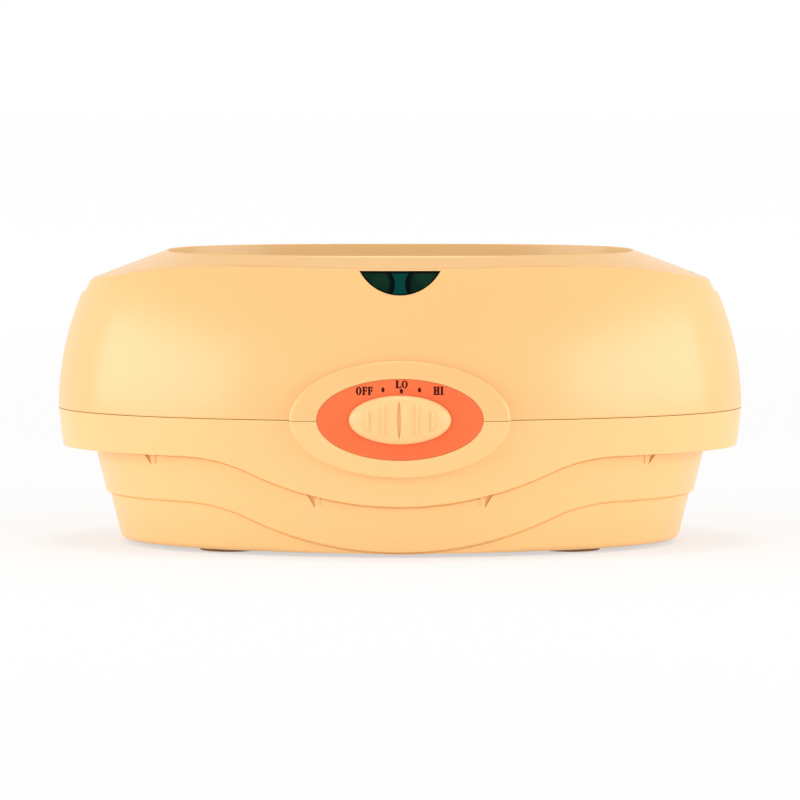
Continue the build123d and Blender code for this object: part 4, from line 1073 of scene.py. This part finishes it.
def lensFinish():
    # smoked lens: a teal hourglass in the middle, a black curve each side of it, green lobes beyond and a
    # black edge, in millimetres from the middle and from the lowest point
    material, tree, shader = newMaterial("dark green lens")
    material.diffuse_color = tint(*lensLook["plain"])
    x, _, z = tree.axes(tree.place((1 / metre,) * 3))
    away = tree.math("ABSOLUTE", x)
    low = tree.minus(z, window["top"] - window["height"])
    lift = tree.minus(tree.math("DIVIDE", low, window["height"]), lensLook["waistAt"])
    waist = tree.plus(tree.times(tree.times(lift, lift), lensLook["flare"]), lensLook["waist"])
    beside = tree.minus(away, waist)
    column = tree.span(beside, -lensLook["columnEdge"], lensLook["columnEdge"], 1.0, 0.0)
    band = tree.minus(tree.span(beside, lensLook["bandFrom"], lensLook["bandTo"], 1.0, 0.0), column, True)
    radius = (window["halfWidth"] ** 2 + window["height"] ** 2) / (2 * window["height"])
    under = tree.minus(low, radius)
    reach = tree.math("SQRT", tree.plus(tree.times(away, away), tree.times(under, under)))
    fromArc = tree.times(tree.minus(radius, reach), lensLook["arcRim"])
    edge = tree.math("MINIMUM", fromArc, tree.minus(window["height"], low))
    rim = tree.span(edge, lensLook["rimFrom"], lensLook["rimTo"], 1.0, 0.0)
    cloud = tree.span(tree.noise(tree.place(), lensLook["cloud"]), 0.3, 0.7)
    green = tree.mix(cloud, *(tint(*lobe) for lobe in lensLook["lobes"]))
    for mask, name in ((band, "band"), (column, "column"), (rim, "rim")):
        green = tree.mix(mask, green, tint(*lensLook[name]))
    surface = useGroup(tree, "grain", Vector=tree.place(), Scale=lensLook["grain"],
                       Roughness=lensLook["roughness"], Spread=0.04)
    cover(tree, shader, green, surface["Roughness"], surface["Height"],
          lensLook["bumpStrength"], lensLook["bump"])
    tree.fill(shader, {"Specular IOR Level": lensLook["specular"]})
    return material


looks["lens_plastic"] = lensFinish()
print("finishes made:", len(looks))


def settle(piece, bodyName, slotName, *nodes, look=None):
    # the piece gets its slot's finish or another look, rides a body and may stand for nodes of the frame
    piece.data.materials.clear()
    piece.data.materials.append(looks[look or slotName])
    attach(piece, bodyName)
    if nodes:
        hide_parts(*nodes)


settle(upperShell(), "base", "upper_plastic", "upper_housing")
print("upper shell done")
settle(lowerShell(), "base", "lower_plastic", "lower_housing")
print("lower shell done")
settle(labelPlate(), "base", "label_plastic", "label_plate")
settle(scaleMarks(), "base", "label_plastic", look="ink")
settle(slideKnob(), "slider", "knob_plastic", "slide_knob")
settle(windowLens(), "base", "lens_plastic", "window_lens")
settle(waxTank(), "base", "tank_metal", "tank")
settle(liftGrille(), "grille", "grille_plastic", "tank_grille")
settle(footPads(), "base", "foot_rubber", "feet")
print("controls, tank, grille and feet done")

for part in frame["record"]["subparts"]:
    for slot in frame["nodes"][part["node"]].material_slots:
        slot.material = looks[part["material_slot"]]
print("frame nodes dressed")


# the studio is in metres, and a lamp's turn from the front and its rise from the floor are in degrees
view = {"distance": 3.319, "height": 0.2947, "aimHeight": 0.0764, "lens": 275.9, "sensor": 36.0,
        "clipEnd": 100.0}
light = {
    "distance": 2.0, "aimHeight": 0.08, "world": 0.73, "ceilingFrom": 0.3, "ceilingTo": 0.6, "ceiling": 0.55,
    "floor": 0.95, "floorSeen": 0.4, "floorHalf": 12.0, "floorRoughness": 0.9,
    "nearEnd": -0.2, "farStart": 3.0, "glowNear": 0.58, "glowFar": 0.7,
}
lamps = {
    "side": {"power": 19.5, "turn": 69.0, "rise": 11.0, "size": (2.3, 1.2)},
    "top": {"power": 5.8, "turn": 0.0, "rise": 88.0, "size": (0.5, 0.5)},
}


def aim(item, target):
    item.rotation_euler = (Vector(target) - item.location).to_track_quat("-Z", "Y").to_euler()


def makeCamera():
    data = bpy.data.cameras.new("camera")
    data.lens = view["lens"]
    data.sensor_width = view["sensor"]
    data.clip_end = view["clipEnd"]
    camera = newObject("camera", data)
    camera.location = (0.0, middleY * metre - view["distance"], view["height"])
    aim(camera, (0.0, middleY * metre, view["aimHeight"]))
    bpy.context.scene.camera = camera


def makeLights():
    # a lamp that is turned from the front stands on both sides
    for name, lamp in lamps.items():
        turn, rise, reach = radians(lamp["turn"]), radians(lamp["rise"]), light["distance"]
        for side in (-1, 1) if turn else (1,):
            data = bpy.data.lights.new(name + " light", "AREA")
            data.shape = "RECTANGLE"
            data.size, data.size_y = lamp["size"]
            data.energy = lamp["power"]
            item = newObject(name + " light", data)
            item.location = (side * reach * cos(rise) * sin(turn), -reach * cos(rise) * cos(turn),
                             reach * sin(rise))
            aim(item, (0.0, 0.0, light["aimHeight"]))


def showsPlain(tree):
    # 1 for what the camera, a mirror or glass sees directly
    path = tree.add("LightPath").outputs
    seen = tree.math("MAXIMUM", path["Is Camera Ray"], path["Is Glossy Ray"])
    return tree.math("MAXIMUM", seen, path["Is Transmission Ray"])


def makeWorld():
    # white all round for the eye. What a glossy surface mirrors gets darker from the horizon up, as under a
    # studio's ceiling
    world = bpy.data.worlds.new("studio")
    bpy.context.scene.world = world
    world.use_nodes = True
    tree = Tree(world.node_tree)
    above = tree.span(tree.axes(tree.place())["Z"], light["ceilingFrom"], light["ceilingTo"])
    shown = tree.mix(above, grey(1.0), grey(light["ceiling"]))
    tree.fill(tree.nodes["Background"], {"Color": tree.mix(showsPlain(tree), grey(light["world"]), shown)})


def makeFloor():
    # the floor is less lit away from the lamps, so its glow grows there
    material, tree, shader = newMaterial("pale floor")
    plain = showsPlain(tree)
    along = tree.axes(tree.place())["Y"]
    glow = tree.span(along, light["nearEnd"], light["farStart"], light["glowNear"], light["glowFar"])
    tree.fill(shader, {"Base Color": tree.mix(plain, grey(light["floor"]), grey(light["floorSeen"])),
                       "Roughness": light["floorRoughness"], "Specular IOR Level": 0.0,
                       "Emission Color": grey(1.0), "Emission Strength": tree.times(plain, glow)})
    mesh = bpy.data.meshes.new("floor")
    half = light["floorHalf"]
    square = [(-half, -half, 0), (half, -half, 0), (half, half, 0), (-half, half, 0)]
    mesh.from_pydata(square, [], [(0, 1, 2, 3)])
    floor = newObject("floor", mesh)
    floor.data.materials.append(material)


makeCamera()
makeLights()
makeWorld()
makeFloor()
bpy.context.scene.view_settings.view_transform = "Standard"
print("camera, lights and floor done")
